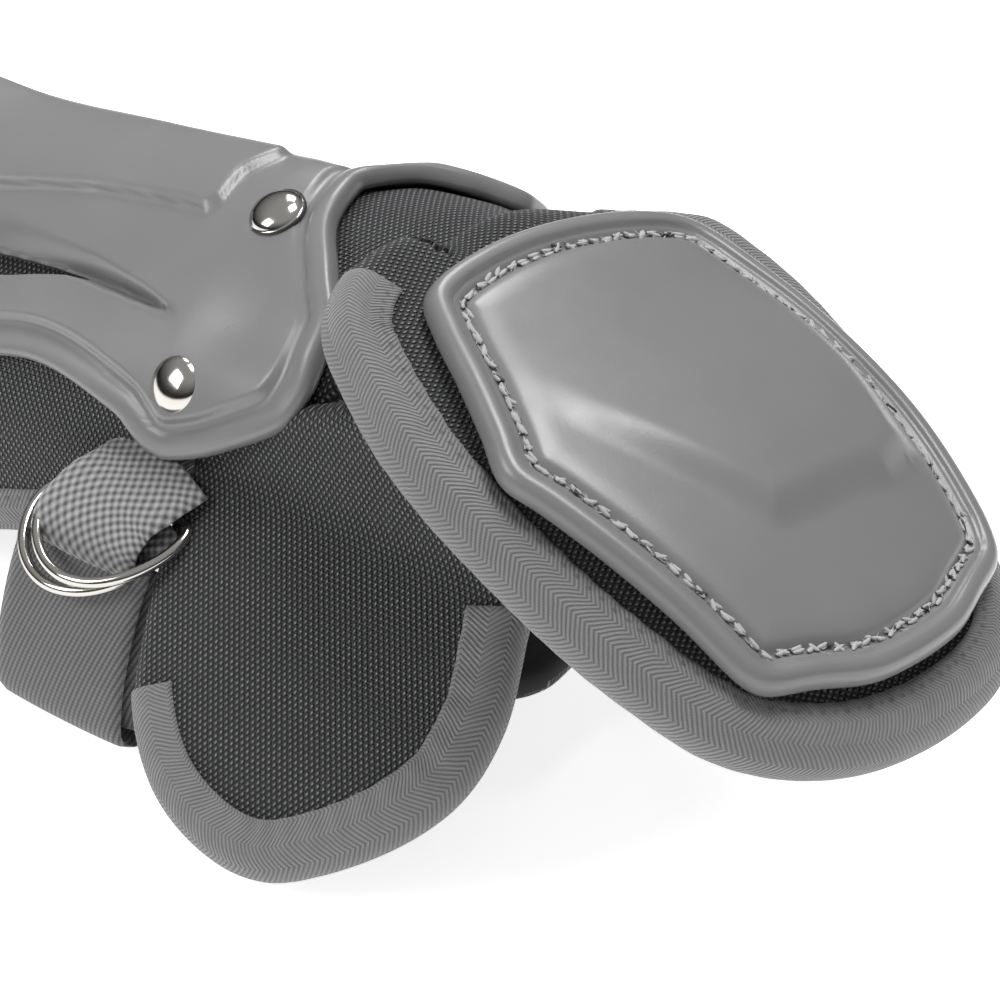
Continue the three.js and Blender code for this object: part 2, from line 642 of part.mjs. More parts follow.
// Straps and webbing: flat bands on a route across the leg
function band(name, route, x, width, thickness, steps) {
  const corners = route.map(([y, z]) => new THREE.Vector3(0, y, z));
  const curve = new THREE.CatmullRomCurve3(corners, false, 'centripetal');
  const floor = thickness / 2;
  const stations = curve.getSpacedPoints(steps).map((point, n) => {
    const tangent = curve.getTangentAt(n / steps);
    const level = point.z < floor + FLOOR_SNAP;
    const inward = level ? new THREE.Vector3(0, 0, 1) : new THREE.Vector3(0, -tangent.z, tangent.y);
    const centre = new THREE.Vector3(x, point.y, level ? floor : point.z);
    const corner = (dx, dn) => centre.clone().addScaledVector(inward, dn).setX(x + dx);
    return [corner(-width / 2, -thickness / 2), corner(width / 2, -thickness / 2),
      corner(width / 2, thickness / 2), corner(-width / 2, thickness / 2)];
  });
  addPiece(name, sweptSolid(stations, false), TAPE_CLOTH);
}

function strap(name, route, x) {
  band(name, route, x, STRAP_WIDTH, STRAP_THICKNESS, 30);
}

function strapSide(surface, x) {
  // Half the width of the leg's hollow plus the pad: the strap runs just outside it.
  return surface(x - STRAP_WIDTH / 2).y + CLEARANCE + STRAP_THICKNESS / 2;
}

function loopRoute(side, top) {
  // From the near edge of the pad down, flat along the floor, and up to the far edge.
  const floor = STRAP_THICKNESS / 2;
  const half = [[side, top], [side, top * 0.7], [side - 0.6, floor + 6], [side - 4, floor + 1],
    [side - 10, floor], [side - 22, floor], [side - 36, floor]];
  return [...half.map(([y, z]) => [-y, z]), ...half.reverse()];
}

const linerSide = (x) => shinPoint(x, 1.01 * shinGirth(x), padDepth);
const ankleSide = strapSide(linerSide, ANKLE_STRAP_X);
const ankleFarEnd = [[ankleSide - 5, 4], [ankleSide, 16], [ankleSide, 46]];
strap('ankle_strap', [...ANKLE_STRAP_ROUTE, ...ankleFarEnd], ANKLE_STRAP_X);
band('ankle_webbing', WEBBING_ROUTE, ANKLE_STRAP_X + 1, WEBBING_WIDTH, WEBBING_THICKNESS, 14);
strap('calf_strap', loopRoute(strapSide(linerSide, CALF_STRAP_X), SHIN_STRAP_TOP), CALF_STRAP_X);
strap('shin_top_strap', loopRoute(strapSide(linerSide, SHIN_TOP_STRAP_X), SHIN_STRAP_TOP), SHIN_TOP_STRAP_X);
const kneeSide = strapSide((x) => cupSurface(x, 1, UPPER_PAD_MARGIN, padDepth), cupMiddle);
strap('knee_strap', loopRoute(kneeSide, KNEE_STRAP_TOP), cupMiddle);
const thighSide = strapSide((x) => thighSurface(x, 1, UPPER_PAD_MARGIN, padDepth), thighMiddle);
strap('thigh_strap', loopRoute(thighSide, THIGH_STRAP_TOP), thighMiddle);

// Rings of bent wire round the webbing
function wireRing(name, centre) {
  const ring = new THREE.TorusGeometry(RING_RADIUS, RING_WIRE / 2, 6, 20);
  ring.scale(1, RING_DEPTH_SHARE, 1);
  ring.rotateX(THREE.MathUtils.degToRad(RING_TILT));
  ring.translate(...centre);
  ring.deleteAttribute('normal');
  ring.deleteAttribute('uv');
  addPiece(name, mergeVertices(ring, 1e-4), STEEL);
}
wireRing('ankle_ring_lower', [ANKLE_STRAP_X, RING_SIDE, RING_HEIGHT]);
wireRing('ankle_ring_upper', [ANKLE_STRAP_X + 2, RING_SIDE, RING_HEIGHT + RING_WIRE + 0.6]);

// The whole part rests on the floor, centred on its own box
const box = new THREE.Box3().setFromObject(group);
const middle = box.getCenter(new THREE.Vector3());
group.children.forEach((mesh) => mesh.position.set(-middle.x, -middle.y, -box.min.z));

export default group;
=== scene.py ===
"""Catcher leg guard, plastic side up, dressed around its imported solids.

Sizes are millimetres in the guard's own frame: x runs toward the foot from the notch at the ankle end of the
shin shell, y is across the leg with the near side negative, and z is up from the floor.
"""
import logging
import math
from dataclasses import dataclass, field
from enum import Enum
from typing import Callable, NamedTuple, Sequence

import bmesh
import bpy
import numpy as np
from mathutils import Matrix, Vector


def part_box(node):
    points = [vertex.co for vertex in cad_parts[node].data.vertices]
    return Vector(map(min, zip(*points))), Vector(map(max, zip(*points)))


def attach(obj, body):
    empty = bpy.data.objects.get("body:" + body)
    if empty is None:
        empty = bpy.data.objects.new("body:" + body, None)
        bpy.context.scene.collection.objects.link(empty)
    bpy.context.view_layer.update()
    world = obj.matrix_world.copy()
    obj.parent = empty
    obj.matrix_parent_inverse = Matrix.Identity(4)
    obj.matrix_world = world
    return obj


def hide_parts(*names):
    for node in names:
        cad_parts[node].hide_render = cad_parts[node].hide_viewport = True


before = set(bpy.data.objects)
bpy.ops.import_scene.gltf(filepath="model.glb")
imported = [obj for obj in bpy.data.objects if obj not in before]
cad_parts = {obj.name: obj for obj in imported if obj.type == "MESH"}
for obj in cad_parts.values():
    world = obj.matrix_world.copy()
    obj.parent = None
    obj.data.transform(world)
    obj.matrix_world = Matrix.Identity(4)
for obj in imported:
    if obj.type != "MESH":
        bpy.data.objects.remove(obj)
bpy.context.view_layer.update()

log = logging.getLogger("leg_guard")
MM = 0.001
Surface = Callable[[np.ndarray, np.ndarray], np.ndarray]
Strand = tuple[np.ndarray, list[tuple[int, ...]]]


class Side(Enum):
    """Side of the leg; the near side is the one that the photograph shows."""

    NEAR = -1
    FAR = 1


class Tone(Enum):
    """Tone of the sewing thread on the foot plate."""

    LIGHT = "light"
    DARK = "dark"


class ArchRow(NamedTuple):
    """A section of the shin arch, as shares of its length, girth and height."""

    at: float
    girth: float
    crest: float
    shell: float
    liner: float


class EdgeRow(NamedTuple):
    """How far the shell's ankle end reaches toward the foot at a share of the way round."""

    around: float
    out: float


class PlateRow(NamedTuple):
    """A section of a knee or thigh plate, as shares of its length, half girth and height."""

    at: float
    reach: float
    crest: float


SHIN_LENGTH = 330.0
CREST = 105.0
ANKLE_GIRTH = 80.0
SHIN_ROWS = (
    ArchRow(-0.14, 0.98, 1.05, 0.93, 0.74),
    ArchRow(0.0, 1.0, 1.0, 0.93, 0.76),
    ArchRow(0.02, 1.005, 0.991, 0.925, 0.78),
    ArchRow(0.05, 1.02, 0.978, 0.89, 1.1),
    ArchRow(0.08, 1.04, 0.964, 0.8, 1.17),
    ArchRow(0.17, 1.1, 0.925, 0.69, 1.2),
    ArchRow(0.3, 1.21, 0.88, 0.76, 1.2),
    ArchRow(0.39, 1.29, 0.885, 0.86, 1.12),
    ArchRow(0.52, 1.42, 0.915, 0.93, 1.1),
    ArchRow(0.62, 1.5, 0.955, 0.95, 1.17),
    ArchRow(0.73, 1.57, 0.995, 0.96, 1.09),
    ArchRow(0.87, 1.65, 1.06, 0.95, 1.09),
    ArchRow(1.0, 1.7, 1.12, 0.86, 1.18),
)
SHELL_END = (
    EdgeRow(0.0, 0.0),
    EdgeRow(0.18, 4.0),
    EdgeRow(0.35, 13.0),
    EdgeRow(0.5, 20.0),
    EdgeRow(0.66, 20.5),
    EdgeRow(0.79, 18.0),
    EdgeRow(0.93, 2.0),
    EdgeRow(1.0, -12.0),
)


def smooth_rows(rows: Sequence[NamedTuple], key: str, value: str, at: np.ndarray) -> np.ndarray:
    """Run a monotone cubic through a table.

    Args:
        rows: The table, ordered by its key column.
        key: Name of the key column.
        value: Name of the wanted column.
        at: Key values to read at.

    Returns:
        The wanted column at each key value.
    """
    keys = np.array([getattr(row, key) for row in rows])
    held = np.array([getattr(row, value) for row in rows])
    at = np.clip(at, keys[0], keys[-1])
    step = np.diff(keys)
    slope = np.diff(held) / step
    before, after = slope[:-1], slope[1:]
    total = np.where(before + after == 0, 1, before + after)
    inner = np.where(before * after <= 0, 0, 2 * before * after / total)
    tangent = np.concatenate([slope[:1], inner, slope[-1:]])
    i = np.clip(np.searchsorted(keys, at, side="right") - 1, 0, len(step) - 1)
    t = (at - keys[i]) / step[i]
    ends = (2 * t**3 - 3 * t**2 + 1) * held[i] + (3 * t**2 - 2 * t**3) * held[i + 1]
    return ends + step[i] * ((t**3 - 2 * t**2 + t) * tangent[i] + (t**3 - t**2) * tangent[i + 1])


def ramp(value: np.ndarray, low: float, high: float) -> np.ndarray:
    """Ease from 0 at the low value to 1 at the high one."""
    t = np.clip((value - low) / (high - low), 0, 1)
    return t * t * (3 - 2 * t)


def soft_step(value: np.ndarray) -> np.ndarray:
    """Give the value where it is positive and 0 elsewhere, with a soft corner."""
    softness = 2.0
    return (np.sqrt(value * value + softness) + value) / 2


def line_distance(points: np.ndarray, line: np.ndarray) -> np.ndarray:
    """Measure the distance from points to an open line.

    Args:
        points: N points of two numbers.
        line: Corners of the line, two numbers each.

    Returns:
        N distances.
    """
    best = np.full(len(points), 1e9)
    for start, end in zip(line[:-1], line[1:]):
        run = end - start
        share = np.clip(((points - start) @ run) / max(run @ run, 1e-9), 0, 1)
        best = np.minimum(best, np.linalg.norm(points - start - share[:, None] * run, axis=1))
    return best


def is_inside(points: np.ndarray, loop: np.ndarray) -> np.ndarray:
    """Tell which points lie inside a closed loop of corners.

    Args:
        points: N points of two numbers.
        loop: Corners of the loop, two numbers each.

    Returns:
        N truth values.
    """
    found = np.zeros(len(points), bool)
    for (ax, ay), (bx, by) in zip(loop, np.roll(loop, -1, axis=0)):
        crosses = (ay > points[:, 1]) != (by > points[:, 1])
        rise = by - ay if by != ay else 1e-9
        found ^= crosses & (points[:, 0] < (bx - ax) * (points[:, 1] - ay) / rise + ax)
    return found


def depth_inside(points: np.ndarray, loop: np.ndarray) -> np.ndarray:
    """Measure how deep points lie inside a closed loop; outside is negative."""
    distance = line_distance(points, np.vstack([loop, loop[:1]]))
    return np.where(is_inside(points, loop), distance, -distance)


def smooth_line(corners: Sequence[Sequence[float]], count: int, closed: bool) -> np.ndarray:
    """Run a centripetal curve through corners and space points evenly on it.

    Args:
        corners: Corners of two or three numbers.
        count: Number of points wanted.
        closed: Whether the curve comes back to its start.

    Returns:
        The evenly spaced points.
    """
    p = np.array(corners, float)
    p = np.vstack([p[-1], p, p[0], p[1]]) if closed else np.vstack([2 * p[0] - p[1], p, 2 * p[-1] - p[-2]])
    fine = []
    steps = 24
    for a, b, c, d in zip(p[:-3], p[1:-2], p[2:-1], p[3:]):
        t1 = np.linalg.norm(b - a) ** 0.5
        t2 = t1 + np.linalg.norm(c - b) ** 0.5
        t3 = t2 + np.linalg.norm(d - c) ** 0.5
        t = np.linspace(t1, t2, steps, endpoint=False)[:, None]
        a1 = (t1 - t) / t1 * a + t / t1 * b
        a2 = (t2 - t) / (t2 - t1) * b + (t - t1) / (t2 - t1) * c
        a3 = (t3 - t) / (t3 - t2) * c + (t - t2) / (t3 - t2) * d
        b1 = (t2 - t) / t2 * a1 + t / t2 * a2
        b2 = (t3 - t) / (t3 - t1) * a2 + (t - t1) / (t3 - t1) * a3
        fine.append((t2 - t) / (t2 - t1) * b1 + (t - t1) / (t2 - t1) * b2)
    curve = np.vstack([*fine, p[-2:-1]])
    length = np.concatenate([[0], np.cumsum(np.linalg.norm(np.diff(curve, axis=0), axis=1))])
    wanted = np.linspace(0, length[-1], count, endpoint=not closed)
    return np.stack([np.interp(wanted, length, curve[:, k]) for k in range(curve.shape[1])], axis=1)


def loop_outward(loop: np.ndarray) -> np.ndarray:
    """Give the direction out of a closed loop at each of its points.

    Args:
        loop: Corners of the loop, two numbers each.

    Returns:
        A unit direction a corner.
    """
    run = np.roll(loop, -1, axis=0) - np.roll(loop, 1, axis=0)
    run /= np.linalg.norm(run, axis=1, keepdims=True)
    x, y = loop[:, 0], loop[:, 1]
    turn = np.sign(np.sum(x * np.roll(y, -1) - np.roll(x, -1) * y))
    return turn * np.stack([run[:, 1], -run[:, 0]], axis=1)


def surface_normal(surface: Surface, a: np.ndarray, b: np.ndarray) -> np.ndarray:
    """Measure the unit normal of a surface at each pair of its coordinates.

    Args:
        surface: Function from two coordinates to points.
        a: First coordinates.
        b: Second coordinates.

    Returns:
        A unit normal for each pair.
    """
    step = 0.05
    along = surface(a + step, b) - surface(a - step, b)
    across = surface(a, b + step) - surface(a, b - step)
    normal = np.cross(along, across)
    return normal / np.maximum(np.linalg.norm(normal, axis=-1, keepdims=True), 1e-9)


class GuardFrame:
    """The place of the guard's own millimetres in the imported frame."""

    CUP_FRONT = -333.0

    def __init__(self) -> None:
        """Read the shift from the knee cup, whose front edge and middle are known."""
        low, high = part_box("knee_cup")
        self.shift = np.array([high.x - self.CUP_FRONT * MM, (low.y + high.y) / 2, 0.0])

    def place(self, points: np.ndarray) -> np.ndarray:
        """Turn guard millimetres into packed metres."""
        return points * MM + self.shift

    def spot(self, x: float, y: float, z: float) -> Vector:
        """Turn one point in guard millimetres into packed metres."""
        return Vector(self.place(np.array([x, y, z])))


guard = GuardFrame()


class ShinArch:
    """The arch that the shell and its liner follow."""

    def __init__(self) -> None:
        """Add up the unit arch once: how far out and down it has come at each share of the half girth."""
        steps = 400
        self.share = np.linspace(0, 1, steps + 1)
        middle = (self.share[1:] + self.share[:-1]) / 2
        self.out = np.concatenate([[0], np.cumsum(np.cos(self.lean(middle))) / steps])
        self.fall = np.concatenate([[0], np.cumsum(np.sin(self.lean(middle))) / steps])

    @staticmethod
    def lean(share: np.ndarray) -> np.ndarray:
        """Give the arch's turn from level at a share of the half girth."""
        return math.pi / 2 * (share + 0.4 * np.sin(2 * math.pi * share) / (2 * math.pi))

    def girth(self, x: np.ndarray) -> np.ndarray:
        """Give the half girth of the shin at x."""
        return ANKLE_GIRTH * smooth_rows(SHIN_ROWS, "at", "girth", -x / SHIN_LENGTH)

    def bend(self, x: np.ndarray, around: np.ndarray, crest: np.ndarray, girth: np.ndarray,
             depth: np.ndarray) -> np.ndarray:
        """Give points of an arch.

        Args:
            x: Place along the leg.
            around: Way round from the crest, negative on the near side.
            crest: Height of the crest.
            girth: Half girth.
            depth: Distance inside the outer face.

        Returns:
            Points, three numbers each.
        """
        length = np.abs(around)
        share = np.minimum(length / girth, 1)
        angle = self.lean(share)
        y = girth * np.interp(share, self.share, self.out) - np.sin(angle) * depth
        z = crest - girth * np.interp(share, self.share, self.fall) - np.maximum(length - girth, 0)
        return np.stack([x, np.where(around < 0, -1, 1) * y, z - np.cos(angle) * depth], axis=-1)

    def point(self, x: np.ndarray, around: np.ndarray, depth: np.ndarray | float = 0.0) -> np.ndarray:
        """Give points of the shin arch at x and a way round, some depth inside its outer face.

        Args:
            x: Place along the leg.
            around: Way round from the crest, negative on the near side.
            depth: Distance inside the outer face.

        Returns:
            Points, three numbers each.
        """
        x = np.asarray(x, float)
        crest = CREST * smooth_rows(SHIN_ROWS, "at", "crest", -x / SHIN_LENGTH)
        around = np.asarray(around, float)
        spots = self.bend(x, around, crest, self.girth(x), depth)
        spots[..., 2] -= self.fall_away(x, around)
        return spots

    @staticmethod
    def fall_away(x: np.ndarray, around: np.ndarray) -> np.ndarray:
        """Give how far the far flank drops below the even arch, easing out at the rim and the lower edge.

        Args:
            x: Place along the leg.
            around: Way round from the crest, positive on the far side.

        Returns:
            The drop at each place.
        """
        start, stop, slope = 3.0, 21.0, 0.72
        steady = slope * (soft_step(around - start) - soft_step(around - stop))
        return steady * (1 - ramp(around, 45.0, 110.0)) * ramp(-x, -5.0, 13.0) * (1 - ramp(-x, 150.0, 260.0))


arch = ShinArch()


def piece_from(name: str, points: np.ndarray, faces: Sequence[Sequence[int]], uv: np.ndarray,
               material: bpy.types.Material, replaced: Sequence[str] = ()) -> bpy.types.Object:
    """Make a smooth-shaded piece that rides on the guard.

    Args:
        name: Name of the piece.
        points: Its points in guard millimetres.
        faces: Corner numbers of its faces.
        uv: Cloth coordinates in millimetres, one pair a point.
        material: Its finish.
        replaced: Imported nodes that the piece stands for.

    Returns:
        The new object.
    """
    mesh = bpy.data.meshes.new(name)
    placed = guard.place(points)
    placed[:, 2] = np.maximum(placed[:, 2], 0.0)
    mesh.from_pydata(placed.tolist(), [], [tuple(int(i) for i in face) for face in faces])
    layer = mesh.uv_layers.new(name="mm")
    corner = np.empty(len(mesh.loops), np.int32)
    mesh.loops.foreach_get("vertex_index", corner)
    layer.data.foreach_set("uv", uv[corner].astype(np.float32).ravel())
    mesh.polygons.foreach_set("use_smooth", np.ones(len(mesh.polygons), bool))
    mesh.materials.append(material)
    tidy = bmesh.new()
    tidy.from_mesh(mesh)
    bmesh.ops.remove_doubles(tidy, verts=tidy.verts, dist=1e-6)
    bmesh.ops.dissolve_degenerate(tidy, edges=tidy.edges, dist=1e-7)
    bmesh.ops.recalc_face_normals(tidy, faces=tidy.faces)
    tidy.to_mesh(mesh)
    tidy.free()
    piece = bpy.data.objects.new(name, mesh)
    bpy.context.scene.collection.objects.link(piece)
    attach(piece, "root")
    if replaced:
        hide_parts(*replaced)
    log.info("%s made", name)
    return piece


def grid_faces(rows: int, columns: int, start: int = 0, round_rows: bool = False,
               round_columns: bool = False) -> list[tuple[int, int, int, int]]:
    """List the faces of a grid of points.

    Args:
        rows: Number of rows.
        columns: Number of columns.
        start: Number of the grid's first point.
        round_rows: Whether the last row joins the first.
        round_columns: Whether the last column joins the first.

    Returns:
        Four corner numbers a face.
    """
    faces = []
    for i in range(rows if round_rows else rows - 1):
        for j in range(columns if round_columns else columns - 1):
            a, b = i * columns, (i + 1) % rows * columns
            k = (j + 1) % columns
            faces.append((start + a + j, start + b + j, start + b + k, start + a + k))
    return faces


def walled_grid(points_out: np.ndarray, points_in: np.ndarray) -> tuple[np.ndarray, list[tuple[int, ...]]]:
    """Join two grids of points along their four edges.

    Args:
        points_out: Outer grid, rows by columns by three.
        points_in: Inner grid of the same shape.

    Returns:
        All points and the faces of the closed wall.
    """
    rows, columns = points_out.shape[:2]
    count = rows * columns
    faces = grid_faces(rows, columns)
    faces += [tuple(reversed(face)) for face in grid_faces(rows, columns, count)]
    edge = [j for j in range(columns)] + [i * columns + columns - 1 for i in range(1, rows)]
    edge += [(rows - 1) * columns + j for j in range(columns - 2, -1, -1)]
    edge += [i * columns for i in range(rows - 2, 0, -1)]
    faces += [(a, b, b + count, a + count) for a, b in zip(edge, edge[1:] + edge[:1])]
    return np.vstack([points_out.reshape(-1, 3), points_in.reshape(-1, 3)]), faces


PAD_INSETS = (0, 0.2, 0.5, 0.9, 1.5, 2.3, 3.2, 4.2, 5.2, 6.5, 8.0, 10.0, 12.0)


@dataclass
class Disc:
    """Rings of cloth coordinates inside a closed outline, from its edge to its middle."""

    outline: np.ndarray
    insets: Sequence[float]
    shrinks: Sequence[float]
    easing: int = 3
    core_easing: int = 90
    a: np.ndarray = field(init=False)
    b: np.ndarray = field(init=False)
    edge: np.ndarray = field(init=False)

    def __post_init__(self) -> None:
        """Lay the rings: exact insets near the edge, then shrinking copies of the last one."""
        rings = [self.outline]
        for gap in np.diff(self.insets):
            rings.append(self.eased(rings[-1] - loop_outward(rings[-1]) * gap, self.easing))
        core = smooth_line(self.eased(rings[-1], self.core_easing), len(self.outline), True)
        centre = core.mean(axis=0)
        rings += [centre + (core - centre) * share for share in self.shrinks]
        rings.append(np.repeat(centre[None], len(self.outline), axis=0))
        grid = np.stack(rings)
        self.a, self.b = grid[..., 0], grid[..., 1]
        closed = np.vstack([self.outline, self.outline[:1]])
        self.edge = line_distance(grid.reshape(-1, 2), closed).reshape(self.a.shape)
        self.edge[0] = 0

    @staticmethod
    def eased(ring: np.ndarray, passes: int) -> np.ndarray:
        """Smooth a closed ring.

        Args:
            ring: Its points.
            passes: How often each point moves toward its neighbours.

        Returns:
            The smoother ring.
        """
        for _ in range(passes):
            ring = (np.roll(ring, 1, axis=0) + 2 * ring + np.roll(ring, -1, axis=0)) / 4
        return ring

    def build(self, name: str, surface: Surface, top: np.ndarray, bottom: np.ndarray,
              material: bpy.types.Material, slot: str, replaced: Sequence[str] = ()) -> bpy.types.Object:
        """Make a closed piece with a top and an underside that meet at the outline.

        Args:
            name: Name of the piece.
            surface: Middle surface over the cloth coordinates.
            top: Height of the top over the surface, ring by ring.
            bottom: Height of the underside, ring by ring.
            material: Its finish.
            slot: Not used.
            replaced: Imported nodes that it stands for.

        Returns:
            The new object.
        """
        rings, spokes = self.a.shape
        middle = surface(self.a, self.b)
        normal = surface_normal(surface, self.a, self.b)
        points = np.vstack([
            (middle + normal * top[..., None]).reshape(-1, 3),
            (middle + normal * bottom[..., None]).reshape(-1, 3),
        ])
        faces = grid_faces(rings, spokes, round_columns=True)
        under = grid_faces(rings, spokes, rings * spokes, round_columns=True)
        faces += [tuple(reversed(face)) for face in under]
        uv = np.stack([self.a.ravel(), self.b.ravel()], axis=1)
        return piece_from(name, points, faces, np.vstack([uv, uv]), material, replaced)


def rounded(edge: np.ndarray, half: float, reach: float) -> np.ndarray:
    """Give the half thickness of a pad whose edge is round over some reach."""
    share = np.clip(edge / reach, 0, 1)
    return half * np.sqrt(1 - (1 - share) ** 2)


def edge_loss(edge: np.ndarray, wall: float, reach: float) -> np.ndarray:
    """Give how much a wall's face draws back near its edge, so that the edge is round."""
    return wall * 0.5 * (1 - np.sqrt(1 - (1 - np.clip(edge / reach, 0, 1)) ** 2))


def rolled_bead(edge: np.ndarray, height: float, width: float) -> np.ndarray:
    """Give the height of a round bead that runs along an edge."""
    half = width / 2
    return height * np.sqrt(np.clip(1 - ((edge - half) / half) ** 2, 0, 1)) * (edge <= width)


def panel_uv(x: np.ndarray, around: np.ndarray) -> np.ndarray:
    """Give the cloth coordinates of both faces of a walled grid."""
    uv = np.stack([x.ravel(), around.ravel()], axis=1)
    return np.vstack([uv, uv])


@dataclass
class EdgeTape:
    """A folded tape sewn round part of a pad's edge."""

    width: float = 13.0
    wall: float = 0.75
    half: float = 5.5
    reach: float = 5.0
    pucker: float = 0.3
    tuck: float = 0.9
    fold: float = 1.1

    def profile(self) -> tuple[np.ndarray, np.ndarray, np.ndarray]:
        """Lay out the tape's folded section.

        Returns:
            Inset from the pad's edge, height over its middle and the way round the section, a point each.
        """
        flat = np.linspace(self.width, self.reach, 6, endpoint=False)
        turn = np.linspace(math.pi / 2, -math.pi / 2, 15)
        outer_r, outer_h = self.reach + self.wall, self.half + self.wall
        level = np.full(len(flat), outer_h)
        inset = np.concatenate([flat, self.reach - outer_r * np.cos(turn), flat[::-1]])
        height = np.concatenate([level, outer_h * np.sin(turn), -level])
        way = np.concatenate([[0], np.cumsum(np.hypot(np.diff(inset), np.diff(height)))])
        return inset, height, way

    def build(self, name: str, outline: np.ndarray, surface: Surface, material: bpy.types.Material,
              replaced: Sequence[str] = ()) -> bpy.types.Object:
        """Make the tape along a run of outline points.

        Args:
            name: Name of the piece.
            outline: Cloth coordinates along the edge, with the outward direction in columns 3 and 4.
            surface: Middle surface of the pad.
            material: Its finish.
            replaced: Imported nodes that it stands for.

        Returns:
            The new object.
        """
        inset, height, way = self.profile()
        edge, outward = outline[:, :2], outline[:, 2:]
        run = np.concatenate([[0], np.cumsum(np.linalg.norm(np.diff(edge, axis=0), axis=1))])
        inner_inset = inset + np.where(inset < self.reach, self.tuck, 0.0)
        ease = ramp(np.abs(height), 0.0, self.half)
        wave = np.sin(run / 3.1 + 1.7 * np.sin(run / 11.0)) * np.sin(run / 1.9 + 2.0)
        lift = self.pucker * wave[:, None] * (0.35 + 0.65 * ramp(inset, 2.0, 9.0))[None, :]
        layers = []
        for depth, use in ((0.0, inset), (self.fold, inner_inset)):
            spot = edge[:, None, :] - outward[:, None, :] * use[None, :, None]
            middle = surface(spot[..., 0], spot[..., 1])
            normal = surface_normal(surface, spot[..., 0], spot[..., 1])
            tall = height[None, :] + np.sign(height)[None, :] * (lift * ease[None, :] - depth)
            layers.append(middle + normal * tall[..., None])
        rows, columns = layers[0].shape[:2]
        points, faces = walled_grid(*layers)
        uv = np.stack([np.repeat(run, columns), np.tile(way, rows)], axis=1)
        return piece_from(name, points, faces, np.vstack([uv, uv]), material, replaced)

    def sew_sides(self, pad: str, x: np.ndarray, reach: np.ndarray, surface: Surface,
                  material: bpy.types.Material) -> None:
        """Sew the tape along both long edges of a pad that follows an arch.

        Args:
            pad: First words of the tapes' names.
            x: Places along the leg.
            reach: How far round the pad comes at each place.
            surface: Middle surface of the pad.
            material: The tapes' finish.
        """
        for side in Side:
            line = np.stack([x, reach * side.value], axis=1)
            run = np.gradient(line, axis=0)
            outward = np.stack([-run[:, 1], run[:, 0]], axis=1)
            outward *= np.sign(outward[:, 1:2]) * side.value
            outward /= np.linalg.norm(outward, axis=1, keepdims=True)
            self.build(f"{pad}_binding_{side.name.lower()}", np.hstack([line, outward]), surface, material)


